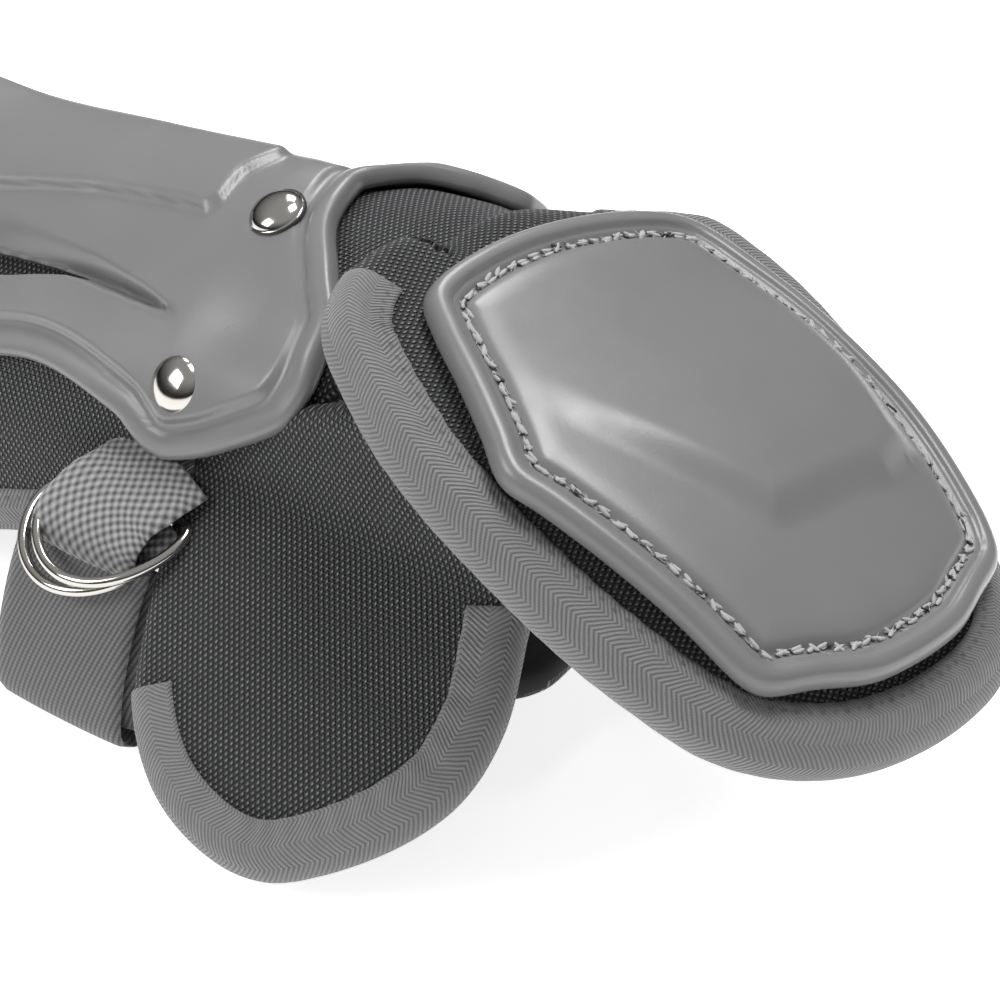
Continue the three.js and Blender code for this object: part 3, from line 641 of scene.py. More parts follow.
class Graph:
    """A short way to wire a shader."""

    def __init__(self, name: str) -> None:
        """Start a material with only its output and main shader.

        Args:
            name: Name of the material.
        """
        self.material = bpy.data.materials.new(name)
        self.material.use_nodes = True
        self.tree = self.material.node_tree
        self.shader = self.tree.nodes["Principled BSDF"]

    def node(self, kind: str, **settings: object) -> bpy.types.Node:
        """Add a node and set its properties.

        Args:
            kind: Blender's name of the node type.
            **settings: Properties and their values.

        Returns:
            The new node.
        """
        made = self.tree.nodes.new(kind)
        for key, value in settings.items():
            setattr(made, key, value)
        return made

    def link(self, source: bpy.types.NodeSocket, target: bpy.types.NodeSocket) -> None:
        """Join two sockets."""
        self.tree.links.new(source, target)

    def math(self, operation: str, first: object, second: object = None, clamp: bool = False) -> object:
        """Add a math node.

        Args:
            operation: Blender's name of the operation.
            first: A socket or a number.
            second: A socket, a number or nothing.
            clamp: Whether the result stays from 0 to 1.

        Returns:
            The result's socket.
        """
        made = self.node("ShaderNodeMath", operation=operation, use_clamp=clamp)
        for slot, value in enumerate((first, second)):
            if isinstance(value, (int, float)):
                made.inputs[slot].default_value = value
            elif value is not None:
                self.link(value, made.inputs[slot])
        return made.outputs[0]

    def cloth(self) -> tuple[object, object]:
        """Give the two cloth coordinates, in millimetres.

        Returns:
            The sockets along and across the cloth.
        """
        uv = self.node("ShaderNodeUVMap", uv_map="mm")
        split = self.node("ShaderNodeSeparateXYZ")
        self.link(uv.outputs[0], split.inputs[0])
        return split.outputs[0], split.outputs[1]

    def wave(self, coordinate: object, pitch: float) -> object:
        """Give a sine from 0 to 1 along a coordinate."""
        turned = self.math("MULTIPLY", coordinate, 2 * math.pi / pitch)
        return self.range(self.math("SINE", turned), 0.5, 1.0)

    def noise(self, scale: float, detail: float = 3.0) -> object:
        """Give a cloudy value over the piece's own place, with a scale a metre.

        Args:
            scale: Clouds a metre.
            detail: Number of finer layers.

        Returns:
            The value's socket.
        """
        place = self.node("ShaderNodeTexCoord")
        cloud = self.node("ShaderNodeTexNoise")
        cloud.inputs["Scale"].default_value = scale
        cloud.inputs["Detail"].default_value = detail
        self.link(place.outputs["Object"], cloud.inputs["Vector"])
        return cloud.outputs["Fac"]

    def blend(self, share: object, low: Sequence[float], high: Sequence[float]) -> object:
        """Mix two colours by a share.

        Args:
            share: Socket of the share.
            low: Colour at 0.
            high: Colour at 1.

        Returns:
            The colour's socket.
        """
        mix = self.node("ShaderNodeMix", data_type="RGBA")
        self.link(share, mix.inputs[0])
        mix.inputs[6].default_value = (*low, 1)
        mix.inputs[7].default_value = (*high, 1)
        return mix.outputs[2]

    def range(self, value: object, low: float, high: float) -> object:
        """Spread a share from 0 to 1 over a range."""
        return self.math("ADD", self.math("MULTIPLY", value, high - low), low)

    def relief(self, height: object, distance: float, strength: float = 1.0) -> None:
        """Press a height into the surface's look.

        Args:
            height: Socket of the height.
            distance: Millimetres that a height of 1 stands for.
            strength: Share of the effect.
        """
        bump = self.node("ShaderNodeBump")
        bump.inputs["Strength"].default_value = strength
        bump.inputs["Distance"].default_value = distance * MM
        self.link(height, bump.inputs["Height"])
        self.link(bump.outputs[0], self.shader.inputs["Normal"])

    def colour(self, value: object) -> None:
        """Set or wire the base colour.

        Args:
            value: Three numbers, or the socket of a colour.
        """
        if isinstance(value, tuple):
            self.shader.inputs["Base Color"].default_value = (*value, 1)
        else:
            self.link(value, self.shader.inputs["Base Color"])

    def set(self, **values: float) -> None:
        """Set plain sockets of the main shader, with underscores for spaces."""
        for key, value in values.items():
            self.shader.inputs[key.replace("_", " ")].default_value = value


@dataclass(frozen=True)
class MouldedPlastic:
    """Satin grey injection-moulded plastic with a faint grain."""

    low: tuple[float, float, float] = (0.158, 0.156, 0.158)
    high: tuple[float, float, float] = (0.19, 0.188, 0.19)
    roughness: float = 0.3

    def build(self) -> bpy.types.Material:
        """Make the material.

        Returns:
            The material.
        """
        graph = Graph("moulded_plastic")
        cloud = graph.noise(38.0)
        graph.colour(graph.blend(cloud, self.low, self.high))
        graph.link(graph.range(graph.noise(160.0), self.roughness - 0.06, self.roughness + 0.08),
                   graph.shader.inputs["Roughness"])
        graph.relief(graph.noise(1500.0, 4.0), 0.06, 0.35)
        graph.set(Specular_IOR_Level=0.5)
        return graph.material


@dataclass(frozen=True)
class AirMesh:
    """Coarse dark knitted mesh with small open cells."""

    hole: tuple[float, float, float] = (0.003, 0.0032, 0.004)
    thread: tuple[float, float, float] = (0.29, 0.3, 0.318)
    pitch: float = 1.4

    def build(self) -> bpy.types.Material:
        """Make the material.

        Returns:
            The material.
        """
        graph = Graph("air_mesh")
        u, v = graph.cloth()
        rise = graph.wave(graph.math("ADD", u, graph.math("MULTIPLY", v, 0.62)), self.pitch)
        fall = graph.wave(graph.math("SUBTRACT", u, graph.math("MULTIPLY", v, 0.62)), self.pitch)
        cell = graph.math("MULTIPLY", rise, fall)
        fine = graph.wave(v, self.pitch * 0.42)
        height = graph.math("ADD", graph.math("POWER", cell, 0.8), graph.math("MULTIPLY", fine, 0.18))
        bright = graph.math("POWER", cell, 2.4)
        shade = graph.math("MULTIPLY", bright, graph.range(graph.noise(900.0), 0.6, 1.4), clamp=True)
        graph.colour(graph.blend(shade, self.hole, self.thread))
        graph.relief(height, 0.8, 1.0)
        graph.set(Roughness=0.6, Sheen_Weight=0.1, Sheen_Roughness=0.4)
        return graph.material


@dataclass(frozen=True)
class TwillTape:
    """Grey herringbone tape with a row of sewing holes near its lips."""

    low: tuple[float, float, float] = (0.1, 0.1, 0.102)
    high: tuple[float, float, float] = (0.225, 0.223, 0.226)
    rib: float = 0.9
    zigzag: float = 4.6
    lip: float = 2.2
    stitch: float = 3.4
    full: float = 35.0

    def build(self) -> bpy.types.Material:
        """Make the material.

        Returns:
            The material.
        """
        graph = Graph("twill_tape")
        u, v = graph.cloth()
        zigzag = graph.math("PINGPONG", v, self.zigzag)
        slope = graph.math("ADD", graph.math("MULTIPLY", u, 0.8), graph.math("MULTIPLY", zigzag, 0.62))
        wobble = graph.math("MULTIPLY", graph.noise(160.0, 1.0), 0.7)
        rib = graph.wave(graph.math("ADD", slope, wobble), self.rib)
        thread = graph.wave(graph.math("SUBTRACT", u, graph.math("MULTIPLY", v, 0.5)), 0.55)
        weave = graph.math("MULTIPLY", graph.math("POWER", rib, 0.7), graph.range(thread, 0.75, 1.0))
        nearest = graph.math("MINIMUM", v, graph.math("SUBTRACT", self.full, v))
        off = graph.math("ABSOLUTE", graph.math("SUBTRACT", nearest, self.lip))
        band = graph.math("LESS_THAN", off, 0.5)
        dash = graph.math("LESS_THAN", graph.math("FRACT", graph.math("DIVIDE", u, self.stitch)), 0.4)
        hole = graph.math("MULTIPLY", band, dash)
        seam = graph.math("MULTIPLY", graph.math("LESS_THAN", off, 0.8), 0.35)
        shade = graph.math("MULTIPLY", weave, graph.math("SUBTRACT", 1.0, graph.math("MULTIPLY", hole, 0.92)))
        graph.colour(graph.blend(shade, self.low, self.high))
        sewn = graph.math("SUBTRACT", weave, seam)
        graph.relief(graph.math("SUBTRACT", sewn, graph.math("MULTIPLY", hole, 1.5)), 0.32, 0.8)
        graph.set(Roughness=0.85, Sheen_Weight=0.2, Sheen_Roughness=0.5)
        return graph.material


@dataclass(frozen=True)
class RibbedElastic:
    """Grey elastic with fine slanted ribs."""

    low: tuple[float, float, float] = (0.045, 0.045, 0.047)
    high: tuple[float, float, float] = (0.165, 0.163, 0.167)
    rib: float = 1.15

    def build(self) -> bpy.types.Material:
        """Make the material.

        Returns:
            The material.
        """
        graph = Graph("ribbed_elastic")
        u, v = graph.cloth()
        slope = graph.math("ADD", graph.math("MULTIPLY", v, 0.93), graph.math("MULTIPLY", u, 0.36))
        rib = graph.wave(slope, self.rib)
        cross = graph.wave(u, 0.85)
        weave = graph.math("MULTIPLY", graph.math("POWER", rib, 0.7), graph.range(cross, 0.7, 1.0))
        graph.colour(graph.blend(weave, self.low, self.high))
        graph.relief(weave, 0.25, 0.8)
        graph.set(Roughness=0.82, Sheen_Weight=0.2, Sheen_Roughness=0.5)
        return graph.material


@dataclass(frozen=True)
class WovenWebbing:
    """Coarse grey basket weave."""

    low: tuple[float, float, float] = (0.05, 0.05, 0.051)
    high: tuple[float, float, float] = (0.37, 0.366, 0.37)
    pitch: float = 2.5

    def build(self) -> bpy.types.Material:
        """Make the material.

        Returns:
            The material.
        """
        graph = Graph("woven_webbing")
        u, v = graph.cloth()
        over = graph.math("MULTIPLY", graph.wave(u, self.pitch), graph.wave(v, self.pitch))
        half = self.pitch / 2
        under_u = graph.wave(graph.math("ADD", u, half), self.pitch)
        under_v = graph.wave(graph.math("ADD", v, half), self.pitch)
        weave = graph.math("ADD", over, graph.math("MULTIPLY", under_u, under_v), clamp=True)
        shade = graph.math("MULTIPLY", weave, graph.range(graph.noise(700.0), 0.75, 1.2), clamp=True)
        graph.colour(graph.blend(shade, self.low, self.high))
        graph.relief(weave, 0.5, 0.9)
        graph.set(Roughness=0.85, Sheen_Weight=0.2, Sheen_Roughness=0.5)
        return graph.material


@dataclass(frozen=True)
class PlainFinish:
    """A finish with one colour all over."""

    name: str
    base: tuple[float, float, float]
    roughness: float
    metallic: float = 0.0
    grain: float = 0.0

    def build(self) -> bpy.types.Material:
        """Make the material.

        Returns:
            The material.
        """
        graph = Graph(self.name)
        graph.colour(self.base)
        graph.set(Roughness=self.roughness, Metallic=self.metallic)
        if self.grain:
            graph.relief(graph.noise(self.grain, 2.0), 0.2, 0.4)
        return graph.material


class Finishes:
    """Every finish of the guard, made once."""

    def __init__(self) -> None:
        """Build the materials."""
        self.plastic = MouldedPlastic().build()
        self.mesh = AirMesh().build()
        self.tape = TwillTape().build()
        self.elastic = RibbedElastic().build()
        self.webbing = WovenWebbing().build()
        self.steel = PlainFinish("polished_steel", (0.46, 0.445, 0.42), 0.13, 1.0).build()
        # Painted shadow: a near-black finish for the gap ring round each rivet head.
        self.dark = PlainFinish("rivet_shadow", (0.02, 0.02, 0.02), 0.4).build()
        self.lining = PlainFinish("smooth_lining", (0.008, 0.008, 0.009), 0.75, 0.0, 900.0).build()
        self.threads = {
            Tone.LIGHT: PlainFinish("thread_light", (0.4, 0.396, 0.4), 0.9).build(),
            Tone.DARK: PlainFinish("thread_dark", (0.05, 0.05, 0.052), 0.8).build(),
        }


@dataclass
class ShinShell:
    """The long moulded shell over the shin, with its rolled rim, raised panel and side vents."""

    finishes: Finishes
    wall: float = 3.0
    bead: float = 2.0
    bead_width: float = 6.0
    ledge: float = 1.6
    ledge_at: float = 8.4
    panel_rise: float = 1.9
    groove: float = 4.4
    scoop_lip: float = 1.6
    scoop_curve: float = 1.4
    edge_round: float = 1.6
    knee_step: float = 14.0
    cut_over: float = 7.0
    cut_under: float = 9.0
    fine_share: float = 0.36
    rows_front: int = 150
    rows_back: int = 54
    columns: int = 150
    panel: tuple[tuple[float, float], ...] = (
        (-318, 0), (-316, 44), (-250, 52), (-170, 42), (-118, 31), (-95, 27.6), (-82, 25.7), (-69, 23.2),
        (-56, 21.2), (-39.4, 20.1), (-25.5, 19.8), (-23.6, 17.5), (-24.7, 8.8), (-23.0, 4.2), (-21.5, 0),
    )
    valley: tuple[tuple[float, float], ...] = (
        (-140, 36), (-100, 30), (-79, 30.2), (-62, 32.6), (-46, 34.4), (-30.5, 38.6), (-16.9, 42.8),
    )
    crease: tuple[tuple[float, float], ...] = (
        (-140, 44), (-100, 41), (-72, 39.2), (-57, 39.3), (-46, 40.0), (-30, 41.5), (-16.9, 42.8),
    )
    vent: tuple[tuple[float, float], ...] = (
        (-46.5, 40.2), (-58, 39.6), (-72, 39.5), (-92, 40.2), (-112, 42.2), (-133, 45.4), (-120, 46.6),
        (-104, 47.4), (-86, 47.2), (-68, 45.2), (-57, 42.6),
    )

    def edge_line(self) -> np.ndarray:
        """Give the near half of the shell's outline as x and way round, from the knee end to the crest.

        Returns:
            Corners of the outline, two numbers each.
        """
        x = np.linspace(-SHIN_LENGTH + self.knee_step, SHELL_END[-1].out, 120)
        share = smooth_rows(SHIN_ROWS, "at", "shell", -x / SHIN_LENGTH)
        side = np.stack([x, share * arch.girth(x)], axis=1)
        around = np.linspace(1, 0, 60)
        end = smooth_rows(SHELL_END, "around", "out", around)
        reach = smooth_rows(SHIN_ROWS, "at", "shell", -end / SHIN_LENGTH) * arch.girth(end)
        front = np.stack([end, around * reach], axis=1)
        top = np.linspace(0, 1, 30)
        back = np.stack([-SHIN_LENGTH + self.knee_step * top**2, top * side[0, 1]], axis=1)
        return np.vstack([back, side, front])

    def relief(self, x: np.ndarray, around: np.ndarray) -> np.ndarray:
        """Give the height of the moulded relief over the plain arch.

        Args:
            x: Place along the leg.
            around: Way round from the crest, negative on the near side.

        Returns:
            The height at each place.
        """
        spots = np.stack([x.ravel(), np.abs(around).ravel()], axis=1)
        edge = line_distance(spots, self.edge_line())
        notch = ramp(spots[:, 0], -16.0, 2.0) * (1 - ramp(spots[:, 1], 42.0, 54.0))
        bead = rolled_bead(edge, self.bead, self.bead_width) * (0.3 + 0.7 * notch)
        roll = edge_loss(edge, self.wall, self.edge_round)
        ledge = self.ledge * ramp(edge, self.ledge_at - 0.7, self.ledge_at + 0.9) * (1 - 0.75 * notch)
        half = np.array(self.panel)
        loop = np.vstack([half, half[::-1] * [1, -1]])
        panel = self.panel_rise * ramp(depth_inside(spots, loop), -1.2, 1.6)
        flank = ramp(around.ravel(), 1.5, 5.0) * (1 - ramp(-x.ravel(), 150.0, 260.0))
        panel *= 1 - flank
        scoop = self.scoop(spots[:, 0], spots[:, 1])
        return (bead - roll + ledge + panel - scoop).reshape(x.shape)

    def scoop(self, x: np.ndarray, around: np.ndarray) -> np.ndarray:
        """Give the depth of the long hollow that leads into each vent.

        Args:
            x: Place along the leg.
            around: Way round from the crest, without its sign.

        Returns:
            The depth at each place.
        """
        valley, crease = np.array(self.valley), np.array(self.crease)
        high = np.interp(x, valley[:, 0], valley[:, 1])
        low = np.interp(x, crease[:, 0], crease[:, 1])
        fade = ramp(valley[-1, 0] - x, 0.0, 14.0) * (1 - ramp(-x, 118, 150))
        share = np.clip((around - high) / np.maximum(low - high, 0.5), 0, 1)
        below = np.clip(1 - (around - low) / self.scoop_lip, 0, 1)
        return self.groove * fade * np.where(around <= low, share**self.scoop_curve, below)

    def vent_cutter(self, side: Side) -> bpy.types.Object:
        """Make a leaf-shaped plug that goes through the wall where a vent is.

        Args:
            side: Side of the leg.

        Returns:
            The plug, to be removed after the cut.
        """
        loop = smooth_line(self.vent, 72, True)
        x, around = loop[:, 0], loop[:, 1] * side.value
        rings = [arch.point(x, around, depth) for depth in (-self.cut_over, self.cut_under)]
        count = len(loop)
        faces = grid_faces(2, count, round_columns=True)
        faces += [tuple(range(count)), tuple(range(2 * count - 1, count - 1, -1))]
        mesh = bpy.data.meshes.new("vent_cutter")
        mesh.from_pydata(guard.place(np.vstack(rings)).tolist(), [], faces)
        turned = bmesh.new()
        turned.from_mesh(mesh)
        bmesh.ops.recalc_face_normals(turned, faces=turned.faces)
        turned.to_mesh(mesh)
        turned.free()
        cutter = bpy.data.objects.new("vent_cutter", mesh)
        bpy.context.scene.collection.objects.link(cutter)
        return cutter

    def build(self) -> bpy.types.Object:
        """Make the shell with its relief, then open its vents; its rows are finest at the ankle end.

        Returns:
            The shell.
        """
        front = np.linspace(1, 1 - self.fine_share, self.rows_front, endpoint=False)
        back = np.linspace(1 - self.fine_share, 0, self.rows_back)
        along = np.concatenate([front, back])[:, None]
        across = np.linspace(-1, 1, self.columns)
        around_share = (across * (1 + 0.22 * (1 - across**2)))[None, :]
        end = smooth_rows(SHELL_END, "around", "out", np.abs(around_share))
        start = -SHIN_LENGTH + self.knee_step * around_share**2
        x = start + (end - start) * along
        reach = smooth_rows(SHIN_ROWS, "at", "shell", -x / SHIN_LENGTH) * arch.girth(x)
        around = around_share * reach
        raised = self.relief(x, around)
        outer = arch.point(x, around, -raised)
        edge = line_distance(np.stack([x.ravel(), np.abs(around).ravel()], axis=1), self.edge_line())
        lift = edge_loss(edge, self.wall, self.edge_round).reshape(x.shape)
        scooped = np.minimum(raised, 0) * 0.6
        inner = arch.point(x, around, self.wall - lift - scooped)
        points, faces = walled_grid(outer, inner)
        piece = piece_from("shin_shell_moulded", points, faces, panel_uv(x, around), self.finishes.plastic,
                           ["shin_shell"])
        for side in Side:
            self.open_vent(piece, side)
        return piece

    def open_vent(self, piece: bpy.types.Object, side: Side) -> None:
        """Cut one vent through the shell.

        Args:
            piece: The shell.
            side: Side of the leg.
        """
        cutter = self.vent_cutter(side)
        cut = piece.modifiers.new("vent", "BOOLEAN")
        cut.operation, cut.object, cut.solver = "DIFFERENCE", cutter, "EXACT"
        bpy.context.view_layer.objects.active = piece
        bpy.ops.object.modifier_apply(modifier=cut.name)
        bpy.data.objects.remove(cutter)


def sweep_loop(points: np.ndarray, radius: float, sides: int) -> tuple[np.ndarray, list[tuple[int, ...]]]:
    """Sweep a round wire along a closed line.

    Args:
        points: Points of the line, three numbers each.
        radius: Radius of the wire.
        sides: Number of facets round the wire.

    Returns:
        Points and faces of the ring.
    """
    tangent = np.roll(points, -1, axis=0) - np.roll(points, 1, axis=0)
    tangent /= np.linalg.norm(tangent, axis=1, keepdims=True)
    centre = points.mean(axis=0)
    plane = np.linalg.svd(points - centre)[2][2]
    side = np.cross(tangent, plane)
    side /= np.linalg.norm(side, axis=1, keepdims=True)
    lift = np.cross(side, tangent)
    turn = np.linspace(0, 2 * math.pi, sides, endpoint=False)
    ring = (points[:, None, :] + radius * np.cos(turn)[None, :, None] * side[:, None, :]
            + radius * np.sin(turn)[None, :, None] * lift[:, None, :])
    return ring.reshape(-1, 3), grid_faces(len(points), sides, round_rows=True, round_columns=True)


@dataclass
class Rivets:
    """Polished dome heads, each in a pressed rim whose ring is painted near black as the shadow in its gap.
    """

    finishes: Finishes
    radius: float = 6.0
    dome: float = 2.4
    steps: int = 40
    section: tuple[tuple[float, float], ...] = (
        (0.0, 1.0), (0.2, 0.985), (0.4, 0.93), (0.6, 0.81), (0.76, 0.63), (0.88, 0.42), (0.96, 0.2),
        (1.0, 0.0), (1.08, -0.02), (1.08, -0.4), (0.0, -0.4),
    )

    def head(self, name: str, centre: np.ndarray, outward: np.ndarray, replaced: str) -> None:
        """Make one head as a turned form.

        Args:
            name: Name of the piece.
            centre: Point of the plate under its middle.
            outward: Direction out of the plate.
            replaced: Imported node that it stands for.
        """
        profile = [(r * self.radius, h * self.dome) for r, h in self.section]
        first = np.cross(outward, [1.0, 0.2, 0.1])
        first /= np.linalg.norm(first)
        second = np.cross(outward, first)
        turn = np.linspace(0, 2 * math.pi, self.steps, endpoint=False)
        rings = [centre + outward * h + r * (np.cos(turn)[:, None] * first + np.sin(turn)[:, None] * second)
                 for r, h in profile]
        points = np.vstack(rings)
        faces = grid_faces(len(profile), self.steps, round_columns=True)
        uv = np.zeros((len(points), 2))
        head = piece_from(name, points, faces, uv, self.finishes.steel, [replaced])
        # Faces at and below the plate line get the painted shadow of the rim's gap.
        head.data.materials.append(self.finishes.dark)
        middle = Vector(guard.place(centre))
        for polygon in head.data.polygons:
            polygon.material_index = int((polygon.center - middle).dot(Vector(outward)) < 0.06 * MM)

    def build(self, surfaces: dict[str, tuple[Surface, float, float, float]]) -> None:
        """Make every pair of heads.

        Args:
            surfaces: For each rivet name its surface, x, way round and lift over the plain surface.
        """
        for name, (surface, x, around, lift) in surfaces.items():
            for side in Side:
                a, b = np.array([x]), np.array([around * side.value])
                normal = surface_normal(surface, a, b)[0]
                normal *= 1 if normal[2] > 0 else -1
                centre = surface(a, b)[0] + normal * lift
                node = f"rivet_{name}_{side.name.lower()}"
                self.head(f"{node}_domed", centre, normal, node)


@dataclass
class ShinLiner:
    """The foam liner under the shell, faced with mesh and taped along its lower edges."""

    finishes: Finishes
    seat: float = 3.8
    thickness: float = 11.0
    end_middle: float = 34.4
    end_fall: float = 14.0
    end_dip: float = 1.4
    edge_round: float = 5.0
    pucker: float = 0.8

    def reach(self, x: np.ndarray) -> np.ndarray:
        """Give how far round the liner comes at x."""
        return smooth_rows(SHIN_ROWS, "at", "liner", -x / SHIN_LENGTH) * arch.girth(x)

    def build(self) -> bpy.types.Object:
        """Make the liner and the tapes on its lower edges.

        Returns:
            The liner.
        """
        along = np.linspace(0, 1, 150)[:, None]
        across = np.linspace(-1, 1, 110)
        around_share = (across * (1 + 0.2 * (1 - across**2)))[None, :]
        end = self.end_middle - self.end_fall * around_share**2
        x = -SHIN_LENGTH + (end + SHIN_LENGTH) * (1 - (1 - along) ** 1.15)
        around = around_share * self.reach(x)
        edge = np.minimum(self.reach(x) - np.abs(around), np.minimum(x + SHIN_LENGTH, end - x))
        half = rounded(np.clip(edge, 0, None), self.thickness / 2, self.edge_round)
        dip = self.end_dip * ramp(x, 18.0, 30.0)
        puff = self.pucker * np.sin(x / 13.0) * np.sin(np.abs(around) / 9.0) * ramp(edge, 2, 12)
        centre = self.seat + self.thickness / 2 + dip
        outer = arch.point(x, around, centre - half)
        inner = arch.point(x, around, centre + half + puff)
        points, faces = walled_grid(outer, inner)
        piece = piece_from("shin_liner_padded", points, faces, panel_uv(x, around), self.finishes.mesh,
                           ["shin_liner"])
        tape = EdgeTape(width=12.0, half=self.thickness / 2 - 0.4)
        edge_x = np.linspace(-SHIN_LENGTH + 2, -19, 150)
        tape.sew_sides("liner", edge_x, self.reach(edge_x), self.middle, self.finishes.tape)
        return piece

    def middle(self, x: np.ndarray, around: np.ndarray) -> np.ndarray:
        """Give points halfway through the liner."""
        return arch.point(x, around, self.seat + self.thickness / 2)


@dataclass
class UpperPlate:
    """A domed plate at the knee or thigh with the pad under it."""

    finishes: Finishes
    plate: str
    pad: str
    rows: tuple[PlateRow, ...]
    start: float
    length: float
    crest: float
    girth: float
    margin: float = 14.0
    wall: float = 3.0
    bead: float = 1.3
    bead_width: float = 5.0
    edge_round: float = 1.6
    panel_rise: float = 1.6
    panel_share: float = 0.56
    pad_thickness: float = 11.0
    pad_gap: float = 0.8
    pad_past: float = 2.5
    pad_round: float = 5.0
    pucker: float = 0.9

    def surface(self, x: np.ndarray, around: np.ndarray, depth: np.ndarray | float = 0.0) -> np.ndarray:
        """Give points of the plate's outer face.

        Args:
            x: Place along the leg.
            around: Way round from the crest, negative on the near side.
            depth: Distance inside the outer face.

        Returns:
            Points, three numbers each.
        """
        at = (self.start - x) / self.length
        crest = self.crest * smooth_rows(self.rows, "at", "crest", at)
        return arch.bend(x, around, crest, np.full(np.shape(x), self.girth), depth)

    def reach(self, x: np.ndarray) -> np.ndarray:
        """Give how far round the plate comes at x."""
        return self.girth * smooth_rows(self.rows, "at", "reach", (self.start - x) / self.length)

    def build(self) -> None:
        """Make the plate, its pad and the pad's tape."""
        self.build_plate()
        self.build_pad()

    def build_plate(self) -> None:
        """Make the moulded plate with a rolled rim and a raised middle."""
        along = np.linspace(0, 1, 90)
        along = (along - 0.12 * np.sin(2 * math.pi * along) / math.pi)[:, None]
        across = np.linspace(-1, 1, 110)
        share = (across * (1 + 0.22 * (1 - across**2)))[None, :]
        x = self.start - self.length * along + 0 * share
        around = share * self.reach(x)
        past_ends = np.minimum(self.start - x, x - self.start + self.length)
        edge = np.clip(np.minimum(self.reach(x) - np.abs(around), past_ends), 0, None)
        bead = rolled_bead(edge, self.bead, self.bead_width)
        roll = edge_loss(edge, self.wall, self.edge_round)
        middle = self.start - self.length / 2
        oval = np.hypot((x - middle) / (self.length * 0.4), around / (self.girth * self.panel_share))
        panel = self.panel_rise * (1 - ramp(oval, 0.9, 1.0))
        line = np.exp(-((np.abs(around) - self.girth * 0.2) / 2.2) ** 2) * (1 - ramp(oval, 0.75, 0.9))
        outer = self.surface(x, around, -(bead - roll + panel + line))
        inner = self.surface(x, around, self.wall - roll)
        points, faces = walled_grid(outer, inner)
        piece_from(f"{self.plate}_moulded", points, faces, panel_uv(x, around), self.finishes.plastic,
                   [self.plate])

    def pad_middle(self, x: np.ndarray, around: np.ndarray) -> np.ndarray:
        """Give points halfway through the pad."""
        return self.surface(x, around, self.wall + self.pad_gap + self.pad_thickness / 2)

    def build_pad(self) -> None:
        """Make the mesh pad and a tape round its two lower edges."""
        share = np.linspace(0, 1, 60)[:, None]
        across = np.linspace(-1, 1, 90)[None, :]
        full = self.length + self.pad_past
        x = self.start + self.pad_past - full * share + 0 * across
        reach = self.reach(x) + self.margin
        around = across * reach
        edge = np.minimum(reach - np.abs(around), np.minimum(share, 1 - share) * full)
        half = rounded(np.clip(edge, 0, None), self.pad_thickness / 2, self.pad_round)
        puff = self.pucker * np.sin(x / 12.0) * np.sin(np.abs(around) / 10.0) * ramp(edge, 2, 12)
        centre = self.wall + self.pad_gap + self.pad_thickness / 2
        outer = self.surface(x, around, centre - half)
        inner = self.surface(x, around, centre + half + puff)
        points, faces = walled_grid(outer, inner)
        piece = piece_from(f"{self.pad}_padded", points, faces, panel_uv(x, around), self.finishes.mesh,
                           [self.pad])
        tape = EdgeTape(width=12.0, half=self.pad_thickness / 2 - 0.4)
        edge_x = np.linspace(self.start - 1, self.start - self.length + 1, 90)
        edge_reach = self.reach(edge_x) + self.margin
        tape.sew_sides(self.pad, edge_x, edge_reach, self.pad_middle, self.finishes.tape)


